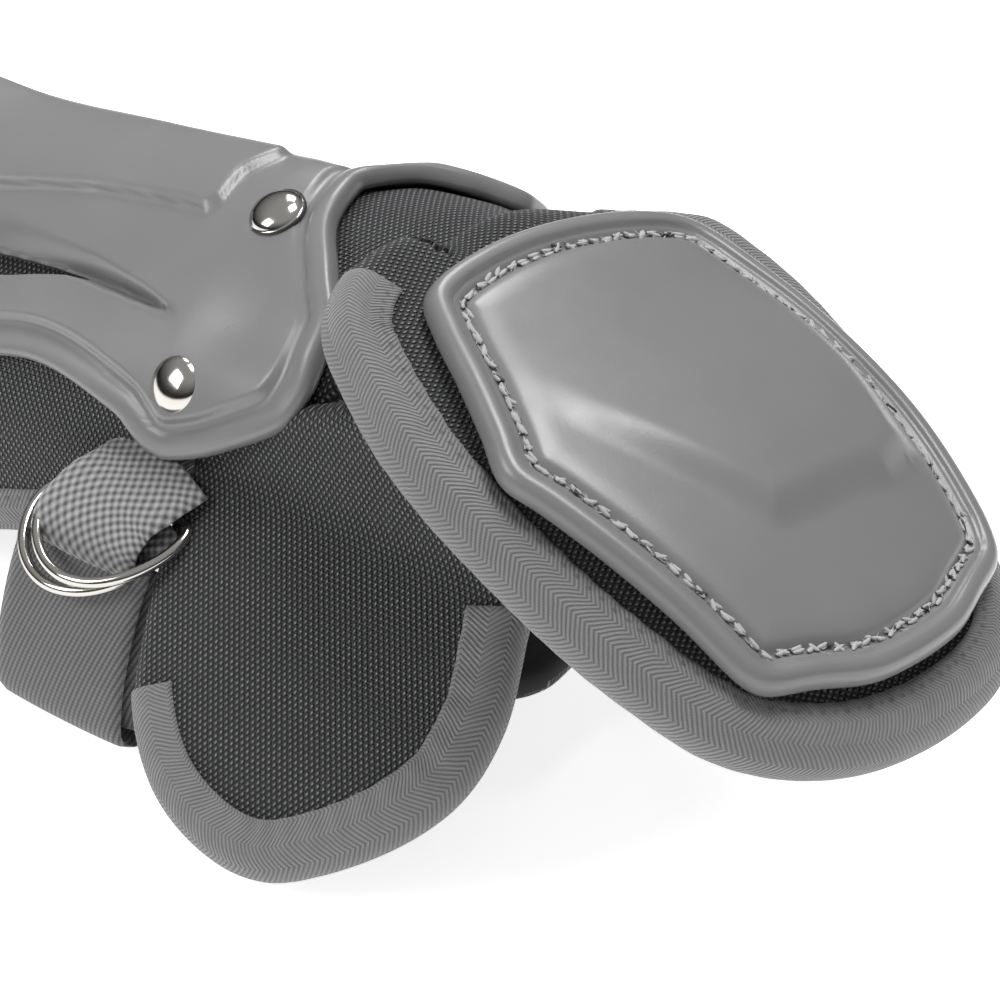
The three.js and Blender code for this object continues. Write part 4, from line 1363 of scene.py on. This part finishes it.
@dataclass
class FootPlate:
    """The domed foot plate with a rolled rim, a sewn groove and a shield-shaped rise."""

    finishes: Finishes
    origin: tuple[float, float, float] = (47.0, 5.0, CREST - 7.0)
    along: tuple[float, float, float] = (0.888, -0.141, -0.438)
    across: tuple[float, float, float] = (0.087, 0.986, -0.141)
    up: tuple[float, float, float] = (0.452, 0.087, 0.888)
    dome: float = 8.0
    dome_middle: tuple[float, float] = (51.0, -1.0)
    dome_reach: tuple[float, float] = (66.0, 58.0)
    wall: float = 3.5
    groove_at: float = 7.3
    body_step: float = 0.35
    bead: float = 1.5
    bead_width: float = 4.6
    edge_round: float = 1.4
    groove_deep: float = 1.2
    stitches: int = 96
    stitch_rise: float = 0.35
    strands: int = 5
    thread: tuple[float, float] = (1.35, 0.54)
    fray: float = 0.16
    dark_every: int = 9
    outline: tuple[tuple[float, float], ...] = (
        (-3, -37), (-7.5, -20), (-7.5, 6), (-2, 33), (3, 39), (18, 43.5), (37, 47.5), (61, 49), (80, 46),
        (93, 42), (98.5, 38), (103.5, 26), (108, 13), (109, -12), (104.5, -27), (101, -37.5), (97.5, -40.5),
        (81, -44.5), (64, -49), (50, -53), (41, -55.5), (30, -51.5), (18, -47), (6, -42.5),
    )
    shield_rise: float = 2.4
    shield: tuple[tuple[float, float], ...] = (
        (-30, -42), (15, -38), (36, -31.5), (50, -23), (63, -15.2), (70, -11), (70.5, -3), (70, 9),
        (71, 22), (67, 33), (47, 38), (28, 39.5), (-30, 42),
    )

    def point(self, a: np.ndarray, b: np.ndarray) -> np.ndarray:
        """Give points of the plate's underside plane."""
        axes = np.array([self.along, self.across])
        return np.array(self.origin) + a[..., None] * axes[0] + b[..., None] * axes[1]

    def height(self, a: np.ndarray, b: np.ndarray, edge: np.ndarray) -> np.ndarray:
        """Give the height of the plate's top over its plane.

        Args:
            a: Way along the plate.
            b: Way across it.
            edge: Distance from its outline.

        Returns:
            The height at each place.
        """
        bead = rolled_bead(edge, self.bead, self.bead_width) - edge_loss(edge, self.wall, self.edge_round)
        groove = self.groove_deep * np.exp(-((edge - self.groove_at) / 1.2) ** 2)
        body = self.body_step * ramp(edge, self.groove_at + 0.6, self.groove_at + 6.0)
        spots = np.stack([a.ravel(), b.ravel()], axis=1)
        deep = depth_inside(spots, np.array(self.shield)).reshape(a.shape)
        shield = self.shield_rise * ramp(deep, -7.0, 3.0)
        return self.wall + self.swell(a, b) + bead - groove + body + shield * ramp(a, 15.0, 62.0)

    def swell(self, a: np.ndarray, b: np.ndarray) -> np.ndarray:
        """Give the even swell of the plate over its plane.

        Args:
            a: Way along the plate.
            b: Way across it.

        Returns:
            The height at each place.
        """
        (middle_a, middle_b), (reach_a, reach_b) = self.dome_middle, self.dome_reach
        out = ((a - middle_a) / reach_a) ** 2 + ((b - middle_b) / reach_b) ** 2
        return self.dome * np.clip(1 - out, -0.2, 1)

    def build(self) -> None:
        """Make the plate and the sewing in its groove."""
        outline = smooth_line(self.outline, 260, True)
        insets = [0, 0.25, 0.6, 1.0, 1.5, 2.1, 2.8, 3.4, 3.9, 4.3, 4.7, 5.3, 5.9, 6.5, 7.0, 7.5, 8.0, 8.6,
                  9.3, 10.2, 11.3, 12.5, 14.0]
        shrinks = np.linspace(0.97, 0.03, 46)
        disc = Disc(outline, insets, shrinks)
        top = self.height(disc.a, disc.b, disc.edge)
        bottom = self.swell(disc.a, disc.b) + edge_loss(disc.edge, self.wall, self.edge_round)
        disc.build("foot_plate_moulded", self.point, top, bottom, self.finishes.plastic,
                   "moulded_plastic", ["foot_plate"])
        self.sew(outline)

    def sew(self, outline: np.ndarray) -> None:
        """Lay two-tone stitches along the groove, each of two thick strands and some frayed ones.

        Args:
            outline: The plate's outline.
        """
        line = smooth_line(outline - loop_outward(outline) * self.groove_at, self.stitches, True)
        edge = np.full(len(line), self.groove_at)
        rise = self.height(line[:, 0], line[:, 1], edge) + self.stitch_rise
        spots = self.point(line[:, 0], line[:, 1]) + rise[:, None] * np.array(self.up)
        run = np.roll(spots, -1, axis=0) - np.roll(spots, 1, axis=0)
        run /= np.linalg.norm(run, axis=1, keepdims=True)
        spread = np.random.default_rng(7)
        lumps: dict[Tone, list[Strand]] = {tone: [] for tone in Tone}
        for n, (spot, way) in enumerate(zip(spots, run)):
            flat = np.cross(way, self.up)
            for strand in range(self.strands):
                tilt = spread.normal(0, 0.42)
                lean = way * math.cos(tilt) + flat * math.sin(tilt)
                lean = lean + np.array(self.up) * spread.normal(0, 0.12)
                lean /= np.linalg.norm(lean)
                where = spot + flat * spread.normal(0, 0.4) + way * spread.normal(0, 0.35)
                length, thick = self.thread if strand < 2 else (spread.uniform(0.8, 1.7), self.fray)
                tone = Tone.DARK if strand == 1 and n % self.dark_every == 0 else Tone.LIGHT
                lumps[tone].append(self.lump(where, lean, length, thick))
        for tone, found in lumps.items():
            self.join_lumps(f"plate_stitches_{tone.value}", found, tone)

    @staticmethod
    def lump(where: np.ndarray, lean: np.ndarray, length: float, thick: float) -> Strand:
        """Give a short twisted strand as points and faces.

        Args:
            where: Its middle.
            lean: Its unit direction.
            length: Half its length.
            thick: Its radius.

        Returns:
            Its points and faces.
        """
        side = np.cross(lean, [0.31, 0.2, 0.93])
        side /= np.linalg.norm(side)
        lift = np.cross(lean, side)
        count = 7
        turn = np.linspace(0, 2 * math.pi, count, endpoint=False)
        rings = []
        for t in np.linspace(-1, 1, count):
            wide = thick * math.sqrt(max(1 - (t * 0.97) ** 2, 0.02)) * (1 + 0.18 * math.sin(9 * t))
            ring = np.cos(turn)[:, None] * side + np.sin(turn)[:, None] * lift
            rings.append(where + lean * length * t - lift * 0.3 * t * t + ring * wide)
        return np.vstack(rings), grid_faces(count, count, round_columns=True)

    def join_lumps(self, name: str, lumps: list[Strand], tone: Tone) -> None:
        """Join the strands of one tone into one piece.

        Args:
            name: Name of the piece.
            lumps: Points and faces of each strand.
            tone: The thread's tone.
        """
        points, faces, start = [], [], 0
        for spots, quads in lumps:
            points.append(spots)
            faces += [tuple(start + i for i in quad) for quad in quads]
            start += len(spots)
        stacked = np.vstack(points)
        thread = self.finishes.threads[tone]
        piece_from(name, stacked, faces, np.zeros((len(stacked), 2)), thread)


@dataclass
class FootFlap:
    """The padded flap under the foot plate, bound with tape."""

    finishes: Finishes
    plate: FootPlate
    seat: float = 1.8
    thickness: float = 11.0
    liner_seat: float = 3.8
    blend_from: float = -28.0
    edge_round: float = 5.0
    tape_ends: tuple[tuple[float, float], tuple[float, float]] = ((-17.0, 37.0), (-18.0, -40.0))
    outline: tuple[tuple[float, float], ...] = (
        (-22, 0), (-21.3, 26), (-14.9, 41.5), (0.9, 54.9), (23.8, 61), (53.8, 59.2), (81, 53.7),
        (101, 45.1), (115.3, 30.5), (121, 4), (117.5, -25), (105, -45.5), (82, -56.5), (54, -62.3),
        (24, -63.5), (3, -59), (-8, -54.5), (-15.5, -46), (-21, -32),
    )

    def top(self, a: np.ndarray, b: np.ndarray) -> np.ndarray:
        """Give points of the flap's top face: the liner's arch, easing into the plate's plane.

        Args:
            a: Way along the plate.
            b: Way across it.

        Returns:
            Points, three numbers each.
        """
        share = ramp(a + 45.0 * ramp(-b, 8.0, 40.0), self.blend_from, 1.0)[..., None]
        arched = arch.point(self.plate.origin[0] + a * 0.95, b, self.liner_seat)
        flat = self.plate.point(a, b) - self.seat * np.array(self.plate.up)
        return arched * (1 - share) + flat * share

    def middle(self, a: np.ndarray, b: np.ndarray) -> np.ndarray:
        """Give points halfway through the flap."""
        return self.top(a, b) - surface_normal(self.top, a, b) * (0.35 + self.thickness / 2)

    def build(self) -> None:
        """Make the pad and its tape."""
        outline = smooth_line(self.outline, 240, True)
        disc = Disc(outline, (*PAD_INSETS, 14.0), np.linspace(0.94, 0.05, 20))
        half = rounded(disc.edge, self.thickness / 2, self.edge_round)
        puff = 0.9 * ramp(disc.edge, 13.0, 17.0)
        quilt = 0.6 * np.sin(disc.a / 10.0) * np.sin(disc.b / 10.0) * ramp(disc.edge, 10, 20)
        pad = disc.build("flap_pad_padded", self.middle, half + puff, -half + quilt, self.finishes.mesh,
                         "mesh_padding", ["flap_pad"])
        first, last = (int(np.argmin(np.linalg.norm(outline - end, axis=1))) for end in self.tape_ends)
        run = np.hstack([outline, loop_outward(outline)])[first:last]
        tape = EdgeTape(width=11.0)
        tape.build("flap_binding_sewn", run, self.middle, self.finishes.tape, ["flap_binding"])


@dataclass
class AnkleWing:
    """A padded wing that hangs beside the ankle: folded outward when near, curled inward when far."""

    finishes: Finishes
    side: Side
    top_z: float
    outline: tuple[tuple[float, float], ...]
    tape_ends: tuple[tuple[float, float], tuple[float, float]]
    top_y: float = 46.0
    thickness: float = 9.0
    drop: float = 11.0
    slope: float = 42.0
    bend: float = 12.0
    lean: float = 10.0
    straight: float = 20.0
    curl: float = 60.0
    edge_round: float = 4.5

    def turn(self, down: np.ndarray) -> np.ndarray:
        """Give the lean from straight down at a way down from the top edge.

        Args:
            down: Way down the wing.

        Returns:
            The lean in radians, positive away from the leg.
        """
        if self.side is Side.NEAR:
            folded = ramp(down, self.drop - self.bend / 2, self.drop + self.bend / 2)
            return folded * math.radians(90 - self.slope)
        share = np.clip((down - self.straight) / self.curl, 0, 1)
        return -np.radians(self.lean + (90 - self.lean) * share)

    def middle(self, a: np.ndarray, b: np.ndarray) -> np.ndarray:
        """Give points halfway through the wing at x and a way down.

        Args:
            a: Place along the leg.
            b: Way down the wing.

        Returns:
            Points, three numbers each.
        """
        steps = 60
        out = np.zeros(np.shape(b))
        fall = np.zeros(np.shape(b))
        for i in range(steps):
            turn = self.turn((i + 0.5) / steps * b)
            out += np.sin(turn) * b / steps
            fall += np.cos(turn) * b / steps
        turn = self.turn(b)
        depth = self.thickness / 2
        y = self.top_y + out - np.cos(turn) * depth
        z = self.top_z - fall - np.sin(turn) * depth
        return np.stack([a + 0 * y, self.side.value * y, z], axis=-1)

    def build(self) -> None:
        """Make the wing, its tape and, on the curled one, its smooth lining."""
        node = f"ankle_wing_{self.side.name.lower()}"
        outline = smooth_line(self.outline, 220, True)
        disc = Disc(outline, PAD_INSETS, np.linspace(0.94, 0.05, 16))
        half = rounded(disc.edge, self.thickness / 2, self.edge_round)
        puff = 0.7 * ramp(disc.edge, 10, 17)
        outer = -self.side.value * (half + puff)
        inner = self.side.value * (half + 0.2 * puff)
        pad = disc.build(f"{node}_padded", self.middle, outer, inner, self.finishes.mesh,
                         "mesh_padding", [node])
        if self.side is Side.FAR:
            pad.data.materials.append(self.finishes.lining)
            for polygon in pad.data.polygons:
                polygon.material_index = int(polygon.normal.z > polygon.normal.y)
        run = np.hstack([outline, loop_outward(outline)])
        first, last = (int(np.argmin(np.linalg.norm(outline - end, axis=1))) for end in self.tape_ends)
        tape = EdgeTape(width=10.5, half=self.thickness / 2, reach=self.edge_round)
        tape.build(f"{node}_tape", run[first:last], self.middle, self.finishes.tape, [f"{node}_binding"])


@dataclass
class Band:
    """A flat strap on a route in the plane across the leg."""

    width: float
    thickness: float
    steps: int = 90

    def build(self, name: str, route: Sequence[Sequence[float]], material: bpy.types.Material,
              replaced: Sequence[str] = (), sag: float = 0.0) -> bpy.types.Object:
        """Sweep the strap's rounded section along its route.

        Args:
            name: Name of the piece.
            route: Points of x, y and z in the middle of the strap.
            material: Its finish.
            replaced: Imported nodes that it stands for.
            sag: How far the middle of the width bows out of its plane.

        Returns:
            The new object.
        """
        line = smooth_line(route, self.steps, False)
        tangent = np.gradient(line, axis=0)
        tangent /= np.linalg.norm(tangent, axis=1, keepdims=True)
        wide = np.array([1.0, 0.0, 0.0]) - tangent * tangent[:, :1]
        wide /= np.linalg.norm(wide, axis=1, keepdims=True)
        thick = np.cross(tangent, wide)
        across = np.linspace(-1, 1, 17)
        crown = np.sqrt(np.clip(1 - np.clip((np.abs(across) - 0.93) / 0.07, 0, 1) ** 2, 0.03, 1))
        section = list(zip(across, crown)) + list(zip(across[::-1], -crown[::-1]))
        run = np.concatenate([[0], np.cumsum(np.linalg.norm(np.diff(line, axis=0), axis=1))])
        points, uv = [], []
        for spot, w_dir, t_dir, way in zip(line, wide, thick, run):
            for w, c in section:
                bow = sag * (1 - w * w)
                points.append(spot + w_dir * w * self.width / 2 + t_dir * (c * self.thickness / 2 + bow))
                uv.append((way, w * self.width / 2))
        count = len(section)
        faces = grid_faces(len(line), count, round_columns=True)
        faces += [tuple(range(count - 1, -1, -1)), tuple((len(line) - 1) * count + i for i in range(count))]
        return piece_from(name, np.array(points), faces, np.array(uv), material, replaced)


@dataclass
class Straps:
    """The elastic straps, the webbing keeper and its two wire rings."""

    finishes: Finishes
    width: float = 36.0
    thickness: float = 1.6
    ankle_x: float = -21.0
    wire: float = 2.5
    ring_half: float = 16.8
    plain_straps: tuple[tuple[str, float], ...] = (
        ("calf_strap", -150.0), ("shin_top_strap", -264.0), ("knee_strap", -392.0), ("thigh_strap", -508.0),
    )

    def loop(self, x: float, side: float, top: float) -> list[tuple[float, float, float]]:
        """Give a strap's route from the near pad edge under the leg to the far one.

        Args:
            x: Place along the leg.
            side: Half the route's width.
            top: Height of its two ends.

        Returns:
            Points of the route.
        """
        low = self.thickness / 2
        half = [(x, side, top), (x, side, top * 0.7), (x, side - 0.6, low + 6), (x, side - 4, low + 1.2),
                (x, side - 10, low), (x, side - 22, low), (x, side - 36, low)]
        return [(a, -b, c) for a, b, c in half] + half[::-1]

    def node_side(self, node: str) -> float:
        """Read half the width of a packed strap in guard millimetres."""
        low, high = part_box(node)
        return (high.y - low.y) / 2 / MM - self.thickness / 2

    def build(self) -> None:
        """Make every strap and the hardware."""
        band = Band(self.width, self.thickness)
        for node, x in self.plain_straps:
            route = self.loop(x, self.node_side(node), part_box(node)[1].z / MM)
            band.build(f"{node}_elastic", route, self.finishes.elastic, [node])
        self.build_ankle()
        self.build_rings()

    def build_ankle(self) -> None:
        """Make the ankle strap with its doubled end, and the webbing rolled over the rings."""
        x, low = self.ankle_x, self.thickness / 2
        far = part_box("ankle_strap")[1].y / MM - guard.shift[1] / MM - low
        route = [(x, -66.0, 40.0), (x, -69.5, 34.0), (x, -73.5, 25.0), (x, -77.0, 13.0), (x, -77.2, 4.5),
                 (x, -73.0, 1.2), (x, -66.0, low), (x, -50.0, low), (x, 20.0, low), (x, far - 14, low),
                 (x, far - 4, 3.5), (x, far, 16.0), (x, far, 46.0)]
        Band(self.width, self.thickness, 130).build("ankle_strap_elastic", route, self.finishes.elastic,
                                                    ["ankle_strap"], sag=0.5)
        doubled = [(x + 2.5, -62.5, 39.0), (x + 2.4, -67.0, 31.5), (x + 2.0, -71.0, 22.0),
                   (x + 1.6, -73.6, 12.0), (x + 1.4, -73.4, 6.0)]
        narrow = Band(self.width - 3.0, self.thickness, 50)
        narrow.build("ankle_strap_doubled", doubled, self.finishes.elastic)
        roll = [(x + 9.0, -47.5, 56.0), (x + 7.5, -51.0, 54.6), (x + 5.5, -56.0, 52.6),
                (x + 3.0, -61.5, 50.0), (x + 1.5, -66.2, 46.0), (x + 1.0, -68.0, 41.6),
                (x + 1.0, -66.4, 39.0), (x + 1.5, -63.0, 40.4), (x + 3.0, -59.8, 44.6),
                (x + 5.5, -54.5, 49.6)]
        webbing = Band(29.0, 2.0, 80)
        webbing.build("ankle_webbing_rolled", roll, self.finishes.webbing, ["ankle_webbing"], sag=0.8)

    def build_rings(self) -> None:
        """Bend the two rings out of round wire."""
        rings = (("ankle_ring_lower", self.ankle_x - 1.0, 40.6),
                 ("ankle_ring_upper", self.ankle_x + 3.4, 44.6))
        side_corners = ((0.6, -55.5, 3.6), (1.0, -56.5, 3.0), (1.04, -62.0, 1.0), (0.8, -70.0, -2.2),
                        (0.42, -74.6, -4.4))
        for node, x, z in rings:
            right = [(x + share * self.ring_half, y, z + up) for share, y, up in side_corners]
            left = [(x - share * self.ring_half, y, z + up) for share, y, up in reversed(side_corners)]
            corners = [*left[-2:], (x, -55.2, z + 3.8), *right, (x, -76.24, z - 5.0), *left[:-2]]
            points, faces = sweep_loop(smooth_line(corners, 120, True), self.wire / 2, 14)
            uv = np.zeros((len(points), 2))
            piece_from(f"{node}_wire", points, faces, uv, self.finishes.steel, [node])


@dataclass
class Studio:
    """Pale floor, soft light and the camera at the photograph's angle."""

    target: tuple[float, float, float] = (44.55, -10.80, CREST - 55.33)
    toward: tuple[float, float, float] = (0.5164, -0.6609, 0.5446)
    distance: float = 700.0
    pixels_per_mm: float = 4.85
    frame_pixels: float = 1000.0
    sensor: float = 36.0

    def build_camera(self) -> None:
        """Place the camera where the photograph was taken from."""
        data = bpy.data.cameras.new("photo_camera")
        data.sensor_width = self.sensor
        data.lens = self.sensor * self.pixels_per_mm * self.distance / self.frame_pixels
        data.clip_start, data.clip_end = 0.01, 50
        camera = bpy.data.objects.new("photo_camera", data)
        bpy.context.scene.collection.objects.link(camera)
        back = Vector(self.toward).normalized()
        camera.location = guard.spot(*self.target) + back * self.distance * MM
        camera.rotation_mode = "QUATERNION"
        camera.rotation_quaternion = (-back).to_track_quat("-Z", "Y")
        bpy.context.scene.camera = camera

    def build_floor(self) -> None:
        """Lay a wide pale floor under the guard."""
        graph = Graph("studio_floor")
        graph.colour((0.88, 0.88, 0.88))
        graph.shader.inputs["Emission Color"].default_value = (1, 1, 1, 1)
        graph.set(Roughness=0.9, Specular_IOR_Level=0.1, Emission_Strength=0.8)
        mesh = bpy.data.meshes.new("studio_floor")
        size = 12.0
        corners = [(-size, -size, 0), (size, -size, 0), (size, size, 0), (-size, size, 0)]
        mesh.from_pydata(corners, [], [(0, 1, 2, 3)])
        mesh.materials.append(graph.material)
        floor = bpy.data.objects.new("studio_floor", mesh)
        bpy.context.scene.collection.objects.link(floor)
        floor.location.z = -0.0002

    def build_light(self, name: str, place: tuple[float, float, float], size: float, power: float) -> None:
        """Hang one soft square light that faces the guard.

        Args:
            name: Name of the light.
            place: Its place in metres from the target.
            size: Side of the square in metres.
            power: Watts.
        """
        data = bpy.data.lights.new(name, "AREA")
        data.shape, data.size, data.energy = "SQUARE", size, power
        light = bpy.data.objects.new(name, data)
        bpy.context.scene.collection.objects.link(light)
        light.location = guard.spot(*self.target) + Vector(place)
        light.rotation_mode = "QUATERNION"
        light.rotation_quaternion = (-Vector(place)).to_track_quat("-Z", "Y")

    def build(self) -> None:
        """Set up the camera, the floor, the lights and the surrounding glow."""
        self.build_camera()
        self.build_floor()
        self.build_light("near_softbox", (-0.8, -1.3, 1.1), 0.85, 16.0)
        self.build_light("back_softbox", (-0.7, 1.0, 1.3), 0.6, 12.0)
        self.build_light("top_softbox", (0.12, 0.42, 1.5), 0.6, 17.0)
        self.build_glow()
        bpy.context.scene.view_settings.view_transform = "Standard"

    def build_glow(self) -> None:
        """Surround the guard with a glow that is bright overhead and dark at the horizon."""
        world = bpy.data.worlds.new("studio_glow")
        world.use_nodes = True
        tree = world.node_tree
        glow = tree.nodes["Background"]
        glow.inputs["Strength"].default_value = 0.5
        place = tree.nodes.new("ShaderNodeTexCoord")
        split = tree.nodes.new("ShaderNodeSeparateXYZ")
        fade = tree.nodes.new("ShaderNodeValToRGB")
        horizon, zenith = fade.color_ramp.elements
        horizon.position, horizon.color = 0.15, (0.03, 0.03, 0.03, 1)
        zenith.position, zenith.color = 0.75, (1, 1, 1, 1)
        tree.links.new(place.outputs["Generated"], split.inputs[0])
        tree.links.new(split.outputs[2], fade.inputs[0])
        tree.links.new(fade.outputs[0], glow.inputs["Color"])
        bpy.context.scene.world = world


CUP_ROWS = (
    PlateRow(0, 0.62, 0.86),
    PlateRow(0.12, 0.78, 0.93),
    PlateRow(0.5, 0.95, 1.0),
    PlateRow(0.88, 0.78, 0.93),
    PlateRow(1, 0.62, 0.86),
)
THIGH_ROWS = (
    PlateRow(0, 0.6, 0.95),
    PlateRow(0.15, 0.8, 0.98),
    PlateRow(0.55, 0.88, 1.0),
    PlateRow(0.85, 0.74, 0.97),
    PlateRow(1, 0.58, 0.93),
)
NEAR_WING = (
    (-8.0, 4.0), (-8.0, 19.0), (-5.0, 34.0), (-0.5, 48.0), (5.5, 61.0), (20.0, 74.8), (37.5, 81.0),
    (51.0, 80.5), (63.0, 73.5), (76.0, 60.5), (82.3, 48.5), (83.2, 34.0), (79.5, 20.0), (74.0, 6.0),
    (64.0, -6.0), (50.0, -14.0), (35.0, -15.5), (20.0, -9.5), (4.0, -3.5),
)
FAR_WING = (
    (2.5, 4.9), (2.5, 24.6), (2.5, 49.2), (4.5, 70.0), (11.0, 92.0), (24.0, 106.0), (42.0, 110.5),
    (56.0, 107.0), (62.0, 98.0), (61.5, 84.0), (60.0, 62.0), (60.5, 41.0), (58.8, 18.0), (52.4, 1.6),
    (41.9, -5.7), (26.9, -5.7), (18.2, -0.8), (9.5, 0.0),
)
RIVET_RISE = 1.1


def main() -> None:
    """Build every sub-assembly in order."""
    logging.basicConfig(level=logging.INFO, format="%(message)s")
    finishes = Finishes()
    Studio().build()
    log.info("studio ready")
    ShinShell(finishes).build()
    log.info("shin shell ready")
    ShinLiner(finishes).build()
    log.info("shin liner ready")
    cup = UpperPlate(finishes, "knee_cup", "knee_pad", CUP_ROWS, guard.CUP_FRONT, 118.0, 138.0, 104.0)
    thigh = UpperPlate(finishes, "thigh_plate", "thigh_pad", THIGH_ROWS, -454.0, 108.0, 128.0, 112.0)
    for upper in (cup, thigh):
        upper.build()
        log.info("%s ready", upper.plate)
    foot_plate = FootPlate(finishes)
    foot_plate.build()
    FootFlap(finishes, foot_plate).build()
    log.info("foot plate and flap ready")
    AnkleWing(finishes, Side.NEAR, CREST - 36.6, NEAR_WING, ((4.0, 60.0), (77.0, 11.0))).build()
    AnkleWing(finishes, Side.FAR, CREST - 39.2, FAR_WING, ((2.5, 30.0), (26.0, 107.0))).build()
    log.info("ankle wings ready")
    Straps(finishes).build()
    log.info("straps and rings ready")
    Rivets(finishes).build({
        "front": (arch.point, -9.5, 16.1, RIVET_RISE),
        "corner": (arch.point, -11.5, 57.0, RIVET_RISE),
        "top": (arch.point, -312.0, 92.0, RIVET_RISE),
        "cup": (cup.surface, -392.0, 0.84 * cup.girth, 0.2),
        "thigh": (thigh.surface, -508.0, 0.84 * thigh.girth, 0.2),
    })
    log.info("rivets ready")


if __name__ == "__main__":
    main()
